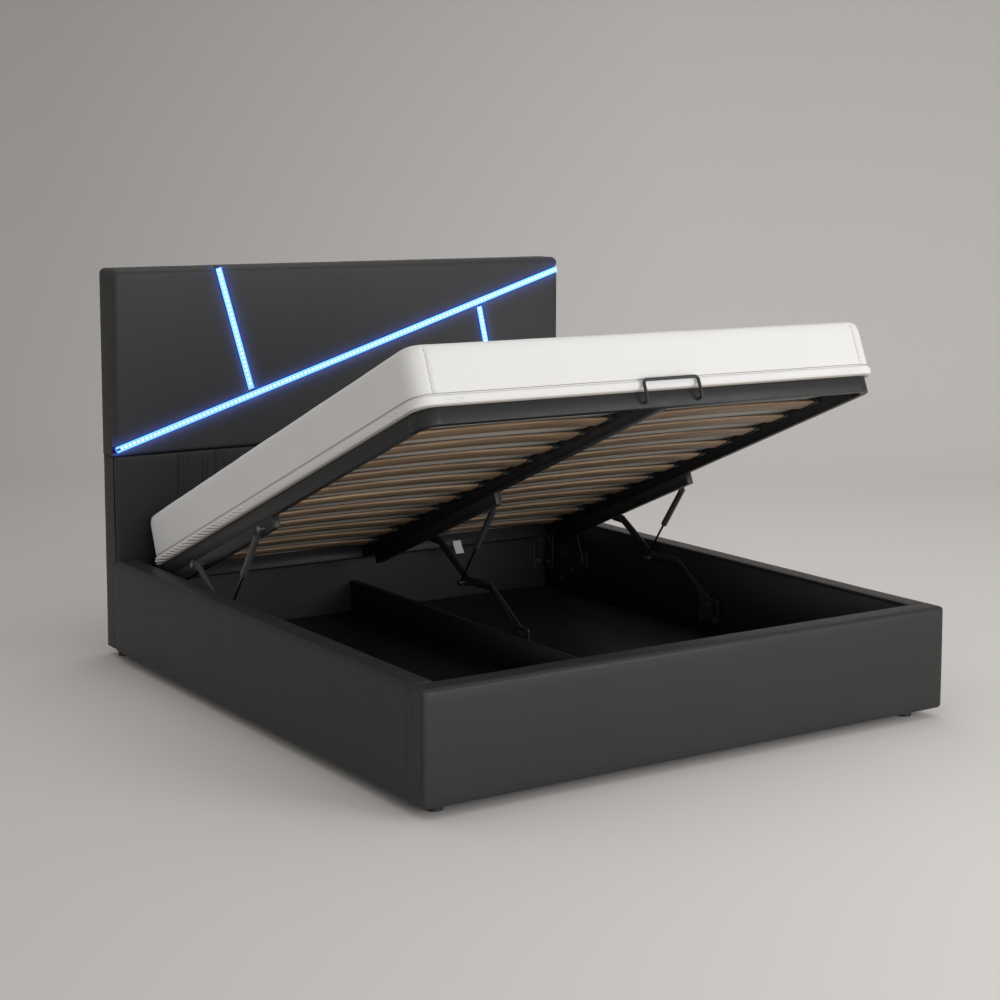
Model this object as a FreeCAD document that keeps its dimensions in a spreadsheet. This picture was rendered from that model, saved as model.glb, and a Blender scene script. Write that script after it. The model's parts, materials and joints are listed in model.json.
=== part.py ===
import FreeCAD, Part
import Sketcher
import math
import os
import re
from types import SimpleNamespace

from FreeCAD import Placement, Rotation, Vector

# Upholstered storage bed with its slatted frame raised on gas struts
# X runs across the bed, Y from the foot to the headboard, Z up from the floor
# The origin is the centre of the floor rectangle that the whole bed covers

sizes = {
    # Box: it reaches from the foot's outer face to the headboard's soft face
    "box_width": 1900,
    "length_room": 141,
    "floor_gap": 30,
    "rail_height": 325,
    "rail_thickness": 80,
    "foot_thickness": 78,
    "board_thickness": 22,
    "cover_lip": 12,
    "cover_ends": 20,
    "edge_round": 20,
    "low_round": 8,
    "lip_round": 4,
    # Beam, floor, battens, feet and corner irons
    "beam_thickness": 25,
    "beam_height": 150,
    "batten_side": 25,
    "batten_level": 5,
    "floor_thickness": 5,
    "floor_clearance": 2,
    "ledge_depth": 60,
    "ledge_thickness": 25,
    "ledge_inset": 120,
    "ledge_clearance": 18,
    "foot_radius": 25,
    "foot_inset": 45,
    "box_foot_inset": 85,
    "beam_foot_inset": 260,
    "corner_leg": 60,
    "corner_iron": 4,
    "corner_height": 160,
    "corner_drop": 60,
    "corner_bolt_inset": 30,
    # Headboard
    "headboard_setback": 14,
    "headboard_height": 1343,
    "headboard_depth": 118,
    "pad_depth": 30,
    "front_board": 12,
    "back_cover": 3,
    "border_thickness": 12,
    "border_round": 10,
    "timber_width": 60,
    "seam_height": 688,
    "seam_gap": 4,
    "pad_edge": 24,
    "base_pad_round": 8,
    # Light lines of the headboard, driver and inlet
    "line_gap": 22,
    "channel_width": 20,
    "channel_depth": 22,
    "channel_wall": 2,
    "strip_thickness": 3,
    "strip_recess": 1,
    "strip_clearance": 0.2,
    "long_line_rise": 21,
    "long_line_drop": 45,
    "line_end_gap": 8,
    "channel_gap": 1,
    "top_line_place": 403,
    "side_line_place": 375,
    "top_line_angle": 15.65,
    "side_line_angle": 12.2,
    "driver_length": 150,
    "driver_height": 45,
    "driver_depth": 30,
    "driver_place": 100,
    "driver_level": 200,
    "inlet_radius": 7,
    "inlet_wall": 2,
    "inlet_flange": 11,
    "inlet_flange_thickness": 2,
    "inlet_depth": 16,
    "inlet_level": 120,
    "inlet_recess": 0.5,
    # Lift frame, in its own directions: along from its foot edge, up from its underside
    "frame_length": 1965,
    "tube_height": 50,
    "tube_width": 25,
    "centre_tube_width": 40,
    "tube_wall": 2,
    "frame_corner": 60,
    "foot_tube_leg": 85,
    "head_gap": 9.49,
    "open_edge_level": 1024,
    "closed_level": 275,
    "tilt_angle": 22.25,
    # Slats and their holders
    "slat_count": 12,
    "slat_first": 112,
    "slat_last": 131.5,
    "slat_width": 70,
    "slat_thickness": 8,
    "slat_rise": 8,
    "slat_seat": 31,
    "holder_length": 28,
    "holder_back": 4,
    "holder_wall": 3,
    "holder_clearance": 0.5,
    # Handle and mattress
    "handle_width": 200,
    "handle_rod": 10,
    "handle_reach": 25,
    "handle_low": 15,
    "handle_top": 79,
    "handle_shift": 17,
    "handle_corner": 12,
    "mattress_side_overhang": 18,
    "mattress_thickness": 190,
    "mattress_overhang": 16,
    "mattress_corner": 65,
    "mattress_edge": 24,
    "mattress_drawn": 4,
    "mattress_crown": 160,
    # Lift gear: where its pivots are
    "arm_pivot_place": 1051,
    "arm_pivot_level": 180,
    "arm_station": 1560,
    "pivot_drop": 25,
    "link_station": 1828,
    "link_pivot_place": 1838.3,
    "link_pivot_level": 206.7,
    "strut_station": 1062,
    "strut_pin_place": 1403,
    "strut_pin_level": 288,
    # Lift gear: rails under the frame, arms and rear links
    "lift_rail_height": 40,
    "lift_rail_start": 1003,
    "lift_rail_end": 1880,
    "cap_length": 12,
    "cap_thickness": 4,
    "cap_clearance": 0.2,
    "arm_width": 30,
    "plate_thickness": 5,
    "low_knee_along": 225,
    "low_knee_rise": 42,
    "high_knee_along": 353,
    "high_knee_drop": 15,
    "end_knee_along": 573,
    "end_knee_rise": 18,
    "link_width": 26,
    # Lift gear: the stack of plates, each as a distance from the wall that carries it
    "gear_space": 45,
    "arm_offset": 3.5,
    "bracket_offset": 11,
    "link_offset": 9,
    "strut_offset": 29,
    "open_pivot_gap": 0.4,
    # Lift gear: gas struts
    "strut_neck": 30,
    "cylinder_length": 178,
    "cylinder_radius": 11,
    "cylinder_wall": 2,
    "rod_radius": 4,
    "neck_radius": 4,
    "rod_clearance": 0.4,
    "rod_overlap": 22,
    "piston_length": 10,
    "piston_clearance": 0.4,
    "strut_eye": 10,
    "strut_eye_thickness": 9,
    # Lift gear: pins, brackets and bolts
    "pin_radius": 6,
    "pin_clearance": 0.1,
    "pin_head": 9,
    "pin_head_thickness": 2.5,
    "bracket_length": 110,
    "bracket_height": 90,
    "bracket_pin_drop": 22,
    "bracket_round": 10,
    "bolt_inset": 16,
    "sleeve_radius": 8,
    "rear_plate_length": 178,
    "rear_plate_height": 152,
    "rear_plate_step": 66,
    "rear_plate_toe": 46,
    "rear_pivot_inset": 26,
    "rear_pivot_drop": 38,
    "bolt_radius": 4,
    "bolt_clearance": 0.1,
    "bolt_head": 7,
    "bolt_head_height": 5,
    "washer_radius": 9,
    "washer_thickness": 1.2,
}

doc = FreeCAD.newDocument("storage_bed")
sheet = doc.addObject("Spreadsheet::Sheet", "sizes")
for row, (alias, value) in enumerate(sizes.items(), 1):
    sheet.set("A%d" % row, alias)
    sheet.set("B%d" % row, str(value))
    sheet.setAlias("B%d" % row, alias)
doc.recompute()
s = SimpleNamespace(**{alias: float(sheet.get(alias)) for alias in sizes})

# Planes that several pieces share, as text for the expressions and as values
foot_face_text = "(-(frame_length + length_room + headboard_depth) / 2)"
foot_inner_text = "(%s + foot_thickness)" % foot_face_text
head_face_text = "(%s + frame_length + length_room)" % foot_face_text
board_top_text = "(floor_gap + rail_height - cover_lip)"
floor_level_text = "(floor_gap + batten_level + batten_side)"
timber_front_text = "(%s + pad_depth + front_board)" % head_face_text
timber_back_text = "(%s + headboard_depth - back_cover)" % head_face_text
board_half_text = "(box_width / 2 - headboard_setback - border_thickness)"
frame_half_text = "(box_width / 2 - rail_thickness - gear_space)"
board_high_text = "(floor_gap + headboard_height - border_thickness)"

box_length = s.frame_length + s.length_room
foot_face = -(box_length + s.headboard_depth) / 2
foot_inner = foot_face + s.foot_thickness
head_face = foot_face + box_length
head_back = head_face + s.headboard_depth
rail_top = s.floor_gap + s.rail_height
wall = s.box_width / 2 - s.rail_thickness
frame_half = wall - s.gear_space
headboard_half = s.box_width / 2 - s.headboard_setback
headboard_top = s.floor_gap + s.headboard_height
seam_level = s.floor_gap + s.seam_height
beam_side = s.beam_thickness / 2

# Names, in the order in which the pieces are made, and their objects
pieces = {}


def keep(piece, label, placement=None):
    """Labels a finished piece and, where it is built in its own directions, places it."""
    piece.Label = label
    if placement is not None:
        piece.Placement = placement
    pieces[label] = piece
    return piece


def bound(text):
    """Expression with every size in it read from the sheet."""
    return re.sub(r"\b([a-z]+(?:_[a-z]+)+)\b", r"sizes.\1", text)


def block(name, x, y, z):
    """Box whose faces are bound to the sheet, each pair as low and high."""
    box = doc.addObject("Part::Box", name)
    for prop, axis, (low, high) in zip(("Length", "Width", "Height"), "xyz", (x, y, z)):
        box.setExpression(prop, bound("(%s) - (%s)" % (high, low)))
        box.setExpression(".Placement.Base." + axis, bound(low))
    return box


def mirrored_pair(sign, inner, outer):
    """Low and high X of a piece that lies between two distances from the middle."""
    if sign > 0:
        return inner, outer
    return "-(%s)" % outer, "-(%s)" % inner


def cut(name, base, tool):
    """One solid less another."""
    piece = doc.addObject("Part::Cut", name)
    piece.Base = base
    piece.Tool = tool
    return piece


def feature(label, solids, placement=None):
    """Piece, or set of like pieces, whose solids are worked out from the sheet."""
    piece = doc.addObject("Part::Feature", label)
    piece.Shape = solids[0] if len(solids) == 1 else Part.makeCompound(solids)
    return keep(piece, label, placement)


def smooth_wire(points, radii, closed=True):
    """Straight runs between points, with an arc of its own radius at each corner."""
    count = len(points)
    corners = []
    for i, (point, radius) in enumerate(zip(points, radii)):
        if not radius:
            corners.append((point, None, point))
            continue
        back = (points[i - 1] - point).normalize()
        ahead = (points[(i + 1) % count] - point).normalize()
        half = back.getAngle(ahead) / 2
        reach = radius / math.tan(half)
        middle = point + (back + ahead).normalize() * (radius / math.sin(half) - radius)
        corners.append((point + back * reach, middle, point + ahead * reach))
    edges = []
    for i, (start, middle, end) in enumerate(corners):
        if middle is not None:
            edges.append(Part.Arc(start, middle, end).toShape())
        if closed or i < count - 1:
            edges.append(Part.LineSegment(end, corners[(i + 1) % count][0]).toShape())
    return Part.Wire(edges)


def slab(points, radii, way):
    """Flat outline drawn out along a vector."""
    return Part.Face(smooth_wire(points, radii)).extrude(way)


def between(low, high):
    """Box between two corners given as vectors."""
    return Part.makeBox(high.x - low.x, high.y - low.y, high.z - low.z, low)


def joined(solids):
    """Solids fused into one, without the seams between them."""
    return solids[0].multiFuse(solids[1:]).removeSplitter()


def bolt(point, way, grip):
    """Hexagon bolt with its washer on a surface, and a shank through what it grips."""
    corners = []
    for k in range(6):
        turn = math.radians(60 * k)
        corners.append(Vector(s.bolt_head * math.cos(turn), s.bolt_head * math.sin(turn), 0))
    head = slab(corners, [0] * 6, Vector(0, 0, s.bolt_head_height))
    head.Placement = Placement(point + way * s.washer_thickness, Rotation(Vector(0, 0, 1), way))
    washer = Part.makeCylinder(s.washer_radius, s.washer_thickness, point, way)
    shank = Part.makeCylinder(s.bolt_radius, grip, point, way * -1)
    return joined([washer, head, shank])


# Side rails: a board inside, padded cover outside that folds over the board's top
for side, sign in (("left", -1), ("right", 1)):
    board_x = mirrored_pair(sign, "box_width / 2 - rail_thickness",
                            "box_width / 2 - rail_thickness + board_thickness")
    keep(block(side + "_board", board_x, (foot_inner_text, head_face_text),
               ("floor_gap", board_top_text)), side + "_rail_board")
    outer = s.box_width / 2
    board_face = wall + s.board_thickness
    section = [(board_face, s.floor_gap, 0), (outer, s.floor_gap, s.low_round),
               (outer, rail_top, s.edge_round), (wall, rail_top, s.lip_round),
               (wall, rail_top - s.cover_lip, 0), (board_face, rail_top - s.cover_lip, 0)]
    points = [Vector(sign * x, foot_inner, z) for x, z, radius in section]
    radii = [radius for x, z, radius in section]
    feature(side + "_rail_cover", [slab(points, radii, Vector(0, head_face - foot_inner, 0))])

# Foot end: its cover wraps the board's ends and top, with every outer edge rounded
keep(block("board_at_foot",
           ("-(box_width / 2 - cover_ends)", "box_width / 2 - cover_ends"),
           ("%s - board_thickness" % foot_inner_text, foot_inner_text),
           ("floor_gap", board_top_text)), "foot_board")
cover_solid = between(Vector(-s.box_width / 2, foot_face, s.floor_gap),
                      Vector(s.box_width / 2, foot_inner, rail_top))
round_edges = []
for edge in cover_solid.Edges:
    middle = edge.CenterOfMass
    upright = abs(middle.x) > s.box_width / 2 - s.low_round and middle.y < foot_face + s.low_round
    if upright or (middle.z > rail_top - s.low_round and middle.y < foot_inner - s.low_round):
        round_edges.append(edge)
cover_solid = cover_solid.makeFillet(s.edge_round, round_edges)
board_room = between(
    Vector(s.cover_ends - s.box_width / 2, foot_inner - s.board_thickness, s.floor_gap),
    Vector(s.box_width / 2 - s.cover_ends, foot_inner, rail_top - s.cover_lip))
feature("foot_cover", [cover_solid.cut(board_room)])

# Beam along the middle, battens, floor panels and the safety ledge under the closed frame's foot end
keep(block("beam", ("-beam_thickness / 2", "beam_thickness / 2"), (foot_inner_text, head_face_text),
           ("floor_gap", "floor_gap + beam_height")), "centre_beam")
batten_low = s.floor_gap + s.batten_level
batten_solids = []
for low in (-wall, -beam_side - s.batten_side, beam_side, wall - s.batten_side):
    batten_solids.append(between(Vector(low, foot_inner, batten_low),
                                 Vector(low + s.batten_side, head_face, batten_low + s.batten_side)))
ledge_top = s.closed_level - s.ledge_clearance
batten_solids.append(between(
    Vector(s.ledge_inset - wall, foot_inner, ledge_top - s.ledge_thickness),
    Vector(wall - s.ledge_inset, foot_inner + s.ledge_depth, ledge_top)))
feature("box_battens", batten_solids)
for side, sign in (("left", -1), ("right", 1)):
    keep(block(side + "_floor",
               mirrored_pair(sign, "beam_thickness / 2 + floor_clearance",
                             "box_width / 2 - rail_thickness - floor_clearance"),
               ("%s + floor_clearance" % foot_inner_text, "%s - floor_clearance" % head_face_text),
               (floor_level_text, "%s + floor_thickness" % floor_level_text)),
         side + "_floor_panel")

# Feet under the rails, the beam and the headboard
foot_places = [(0, foot_face + s.beam_foot_inset), (0, foot_face + box_length / 2),
               (0, head_face - s.beam_foot_inset)]
for sign in (-1, 1):
    across = sign * (s.box_width / 2 - s.box_foot_inset)
    foot_places += [(across, foot_face + s.box_foot_inset), (across, foot_face + box_length / 2),
                    (across, head_face - s.box_foot_inset)]
    foot_places.append((sign * (headboard_half - s.foot_inset), head_back - s.headboard_depth / 2))
feature("feet", [Part.makeCylinder(s.foot_radius, s.floor_gap, Vector(x, y, 0))
                 for x, y in foot_places])

# Corner irons inside the box, and the first of the bolts
iron_solids = []
bolt_solids = []
iron_low = rail_top - s.corner_drop - s.corner_height
for sign in (-1, 1):
    for face, ahead in ((foot_inner, 1), (head_face, -1)):
        corner = [(0, 0), (s.corner_leg, 0), (s.corner_leg, s.corner_iron),
                  (s.corner_iron, s.corner_iron), (s.corner_iron, s.corner_leg), (0, s.corner_leg)]
        points = [Vector(sign * (wall - u), face + ahead * v, iron_low) for u, v in corner]
        iron = slab(points, [0] * 6, Vector(0, 0, s.corner_height))
        along = (s.corner_leg + s.corner_iron) / 2
        for up in (s.corner_bolt_inset, s.corner_height - s.corner_bolt_inset):
            level = iron_low + up
            on_rail = Vector(sign * (wall - s.corner_iron), face + ahead * along, level)
            on_end = Vector(sign * (wall - along), face + ahead * s.corner_iron, level)
            for seat, way in ((on_rail, Vector(-sign, 0, 0)), (on_end, Vector(0, ahead, 0))):
                hole = Part.makeCylinder(s.bolt_radius + s.bolt_clearance, s.corner_iron, seat, way * -1)
                iron = iron.cut(hole)
                bolt_solids.append(bolt(seat, way, s.corner_iron))
        iron_solids.append(iron)
feature("corner_brackets", iron_solids)

# Headboard: boards and timbers behind the padding
keep(block("board_in_front", ("-" + board_half_text, board_half_text),
           ("%s + pad_depth" % head_face_text, timber_front_text),
           ("floor_gap", board_high_text)), "headboard_front_board")
timber_front = head_face + s.pad_depth + s.front_board
timber_back = head_back - s.back_cover
board_half = headboard_half - s.border_thickness
board_high = headboard_top - s.border_thickness
feature("headboard_stiles", [
    between(Vector(low, timber_front, s.floor_gap), Vector(low + s.timber_width, timber_back, board_high))
    for low in (-board_half, board_half - s.timber_width)])
feature("headboard_cross_rails", [
    between(Vector(s.timber_width - board_half, timber_front, low),
            Vector(board_half - s.timber_width, timber_back, low + s.timber_width))
    for low in (s.floor_gap, seam_level - s.timber_width / 2, board_high - s.timber_width)])
inlet_x = s.driver_place + s.driver_length / 2
inlet_hole = doc.addObject("Part::Cylinder", "inlet_hole")
inlet_hole.setExpression("Radius", bound("inlet_radius + pin_clearance"))
inlet_hole.setExpression("Height", bound("back_cover"))
inlet_hole.Placement = Placement(Vector(inlet_x, timber_back, s.inlet_level), Rotation(Vector(1, 0, 0), -90))
keep(cut("cover_with_hole", block("cover_at_back", ("-" + board_half_text, board_half_text),
                                  (timber_back_text, "%s + headboard_depth" % head_face_text),
                                  ("floor_gap", board_high_text)), inlet_hole), "headboard_back_cover")
inlet_low = Vector(inlet_x, head_back - s.inlet_recess - s.inlet_depth, s.inlet_level)
inlet_seat = Vector(inlet_x, timber_back - s.inlet_flange_thickness, s.inlet_level)
inlet_barrel = Part.makeCylinder(s.inlet_radius, s.inlet_depth, inlet_low, Vector(0, 1, 0))
inlet_ring = Part.makeCylinder(s.inlet_flange, s.inlet_flange_thickness, inlet_seat, Vector(0, 1, 0))
inlet_bore = Part.makeCylinder(s.inlet_radius - s.inlet_wall, s.inlet_depth - s.inlet_wall,
                               inlet_low + Vector(0, s.inlet_wall, 0), Vector(0, 1, 0))
feature("power_inlet", [joined([inlet_barrel, inlet_ring]).cut(inlet_bore)])
keep(block("driver", ("driver_place", "driver_place + driver_length"),
           (timber_front_text, "%s + driver_depth" % timber_front_text),
           ("driver_level", "driver_level + driver_height")), "led_driver")

# Headboard: upholstered border round its sides and top, and the plain panel below the seam
border = [(-headboard_half, s.floor_gap, 0), (-headboard_half, headboard_top, s.border_round),
          (headboard_half, headboard_top, s.border_round), (headboard_half, s.floor_gap, 0),
          (board_half, s.floor_gap, 0), (board_half, board_high, 0),
          (-board_half, board_high, 0), (-board_half, s.floor_gap, 0)]
feature("headboard_border", [slab([Vector(x, head_face + s.pad_depth, z) for x, z, radius in border],
                                  [radius for x, z, radius in border],
                                  Vector(0, s.headboard_depth - s.pad_depth, 0))])
base_pad = between(Vector(-headboard_half, head_face, s.floor_gap),
                   Vector(headboard_half, head_face + s.pad_depth, seam_level - s.seam_gap / 2))
front_edges = [edge for edge in base_pad.Edges
               if edge.CenterOfMass.y < head_face + s.base_pad_round
               and edge.CenterOfMass.z > s.floor_gap + s.base_pad_round]
feature("headboard_base_panel", [base_pad.makeFillet(s.base_pad_round, front_edges)])

# Light lines: one rises across the whole headboard, one meets it from above and one leaves it below
long_start = Vector(-headboard_half, 0, seam_level + s.long_line_rise)
long_end = Vector(headboard_half, 0, headboard_top - s.long_line_drop)
long_slope = (long_end.z - long_start.z) / (long_end.x - long_start.x)
top_lean = math.tan(math.radians(s.top_line_angle))
side_lean = math.tan(math.radians(s.side_line_angle))
top_start = Vector(s.top_line_place - headboard_half, 0, headboard_top)
rise_left = top_start.z - long_start.z - long_slope * (top_start.x - long_start.x)
drop_to_long = rise_left / (1 + long_slope * top_lean)
top_end = top_start + Vector(top_lean, 0, -1) * drop_to_long
side_x = headboard_half - s.side_line_place
side_start = Vector(side_x, 0, long_start.z + long_slope * (side_x - long_start.x))
side_end = side_start + Vector(side_lean, 0, -1) * (side_start.z - seam_level)


def clipped(outline, start, end, away):
    """Part of a convex outline on the left of a line in the XZ plane, away from it."""
    along = (end - start).normalize()
    left = Vector(-along.z, 0, along.x)
    kept = []
    for i, point in enumerate(outline):
        before = outline[i - 1]
        depth_before = left.dot(before - start) - away
        depth = left.dot(point - start) - away
        if (depth_before < 0) != (depth < 0):
            kept.append(before + (point - before) * (depth_before / (depth_before - depth)))
        if depth >= 0:
            kept.append(point)
    return kept


def inset_outline(outline, inset):
    """Convex outline with each corner moved in, and moved less where its sides are short."""
    loop = []
    for i, point in enumerate(outline):
        to_before = outline[i - 1] - point
        to_after = outline[(i + 1) % len(outline)] - point
        room = min(to_before.Length, to_after.Length) * short_side_share
        half_angle = to_before.getAngle(to_after) / 2
        inward = (to_before.normalize() + to_after.normalize()).normalize()
        loop.append(point + inward * (min(inset, room) / math.sin(half_angle)))
    return loop


# Each section of a pad: its share of the depth, from the board out, and of the rolled edge
short_side_share = 0.35
pad_section_shares = ((0, 0.1), (0.4, 0), (0.72, 0.1), (0.9, 0.36), (1, 1))
upper_field = [Vector(-headboard_half, 0, seam_level + s.seam_gap / 2),
               Vector(headboard_half, 0, seam_level + s.seam_gap / 2),
               Vector(headboard_half, 0, headboard_top), Vector(-headboard_half, 0, headboard_top)]
above_long = clipped(upper_field, long_start, long_end, s.line_gap / 2)
below_long = clipped(upper_field, long_end, long_start, s.line_gap / 2)
pad_outlines = {
    "headboard_panel_top_left": clipped(above_long, top_end, top_start, s.line_gap / 2),
    "headboard_panel_top_right": clipped(above_long, top_start, top_end, s.line_gap / 2),
    "headboard_panel_low_left": clipped(below_long, side_end, side_start, s.line_gap / 2),
    "headboard_panel_low_right": clipped(below_long, side_start, side_end, s.line_gap / 2),
}
for label, outline in pad_outlines.items():
    wires = []
    for depth_share, edge_share in pad_section_shares:
        plane = Vector(0, head_face + s.pad_depth * (1 - depth_share), 0)
        loop = [point + plane for point in inset_outline(outline, s.pad_edge * edge_share)]
        wires.append(Part.makePolygon(loop + loop[:1]))
    feature(label, [Part.makeLoft(wires, True, True)])


def light_bar(start, end, profile):
    """Bar along a light line; its profile gives distances across and out from the board."""
    along = (end - start).normalize()
    across = Vector(-along.z, 0, along.x)
    base = start + Vector(0, head_face + s.pad_depth, 0)
    points = [base + across * a - Vector(0, out, 0) for a, out in profile]
    return slab(points, [0] * len(points), end - start)


half_channel = s.channel_width / 2
half_inside = half_channel - s.channel_wall
channel_profile = [(-half_channel, 0), (half_channel, 0), (half_channel, s.channel_depth),
                   (half_inside, s.channel_depth), (half_inside, s.channel_wall),
                   (-half_inside, s.channel_wall), (-half_inside, s.channel_depth),
                   (-half_channel, s.channel_depth)]
half_strip = half_inside - s.strip_clearance
strip_out = s.channel_depth - s.strip_recess
strip_profile = [(-half_strip, strip_out - s.strip_thickness), (half_strip, strip_out - s.strip_thickness),
                 (half_strip, strip_out), (-half_strip, strip_out)]


def shortened(start, end, gap_at_start, gap_at_end):
    along = (end - start).normalize()
    return start + along * gap_at_start, end - along * gap_at_end


light_lines = [
    shortened(long_start, long_end, s.line_end_gap, s.line_end_gap),
    shortened(top_start, top_end, s.line_end_gap, s.channel_width + s.channel_gap),
    shortened(side_start, side_end, s.channel_width + s.channel_gap, s.line_end_gap),
]
feature("led_channels", [light_bar(start, end, channel_profile) for start, end in light_lines])
feature("led_strips", [light_bar(start, end, strip_profile) for start, end in light_lines])

# Raised frame: its mattress clears the headboard by the named gap at the upper head edge
tilt = math.radians(s.tilt_angle)
widest_share = 0.86
open_edge = (head_face - s.head_gap - s.frame_length * math.cos(tilt)
             - (s.tube_height + s.mattress_thickness * widest_share) * math.sin(tilt))
lift_place = Placement(Vector(0, open_edge, s.open_edge_level), Rotation(Vector(1, 0, 0), -s.tilt_angle))


def on_lift(along, up):
    """Point of the raised frame, given along it and up from its underside."""
    return lift_place.multVec(Vector(0, along, up))


arm_base = Vector(0, foot_face + s.arm_pivot_place, s.arm_pivot_level)
arm_top = on_lift(s.arm_station, -s.pivot_drop)
link_base = Vector(0, foot_face + s.link_pivot_place, s.link_pivot_level)
link_top = on_lift(s.link_station, -s.pivot_drop)
strut_top = on_lift(s.strut_station, -s.pivot_drop)
strut_low = Vector(0, foot_face + s.strut_pin_place, s.strut_pin_level)

# Each set of gear hangs on a plane: the inner faces of the two rails, and one beside the beam
gear_sets = {
    "left": SimpleNamespace(wall=-wall, inward=1),
    "centre": SimpleNamespace(wall=s.centre_tube_width / 2 + s.gear_space, inward=-1),
    "right": SimpleNamespace(wall=wall, inward=-1),
}
arm_inner = s.arm_offset + s.plate_thickness
bracket_inner = s.bracket_offset + s.plate_thickness
link_inner = s.link_offset + s.plate_thickness
eye_outer = s.strut_offset - s.strut_eye_thickness / 2
eye_inner = s.strut_offset + s.strut_eye_thickness / 2


def disc(gear, centre, radius, near, far):
    """Round piece of one gear set, between two distances from its wall."""
    start = Vector(gear.wall + gear.inward * near, centre.y, centre.z)
    return Part.makeCylinder(radius, far - near, start, Vector(gear.inward, 0, 0))


def bar(gear, start, end, width, near):
    """Flat bar with round ends, one plate thick."""
    along = (end - start).normalize()
    across = Vector(0, -along.z, along.y) * (width / 2)
    shift = Vector(gear.wall + gear.inward * near, 0, 0)
    points = [start + across + shift, end + across + shift, end - across + shift, start - across + shift]
    flat = slab(points, [0] * 4, Vector(gear.inward * s.plate_thickness, 0, 0))
    ends = [disc(gear, point, width / 2, near, near + s.plate_thickness) for point in (start, end)]
    return joined([flat] + ends)


hole_radius = s.pin_radius + s.pin_clearance
arm_along = (arm_top - arm_base).normalize()
arm_up = Vector(0, -arm_along.z, arm_along.y)
arm_knees = [arm_base + arm_along * s.low_knee_along + arm_up * s.low_knee_rise,
             arm_base + arm_along * s.high_knee_along - arm_up * s.high_knee_drop,
             arm_base + arm_along * s.end_knee_along + arm_up * s.end_knee_rise]
arm_points = [arm_base] + arm_knees + [arm_top]

# Cranked arms, with the boss that the strut's lower eye turns on
for side, gear in gear_sets.items():
    runs = [bar(gear, a, b, s.arm_width, s.arm_offset) for a, b in zip(arm_points, arm_points[1:])]
    lug = disc(gear, strut_low, s.arm_width / 2, s.arm_offset, arm_inner)
    boss = disc(gear, strut_low, s.sleeve_radius, s.arm_offset, eye_outer - s.open_pivot_gap)
    arm = joined(runs + [lug, boss])
    for pivot in (arm_base, arm_top):
        arm = arm.cut(disc(gear, pivot, hole_radius, s.arm_offset, arm_inner))
    feature(side + "_arm", [arm])

# Pins on the base, through bracket and arm
feature("base_pins", [joined([
    disc(gear, arm_base, s.pin_radius, s.open_pivot_gap, bracket_inner),
    disc(gear, arm_base, s.pin_head, bracket_inner, bracket_inner + s.pin_head_thickness)])
    for gear in gear_sets.values()])


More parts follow.
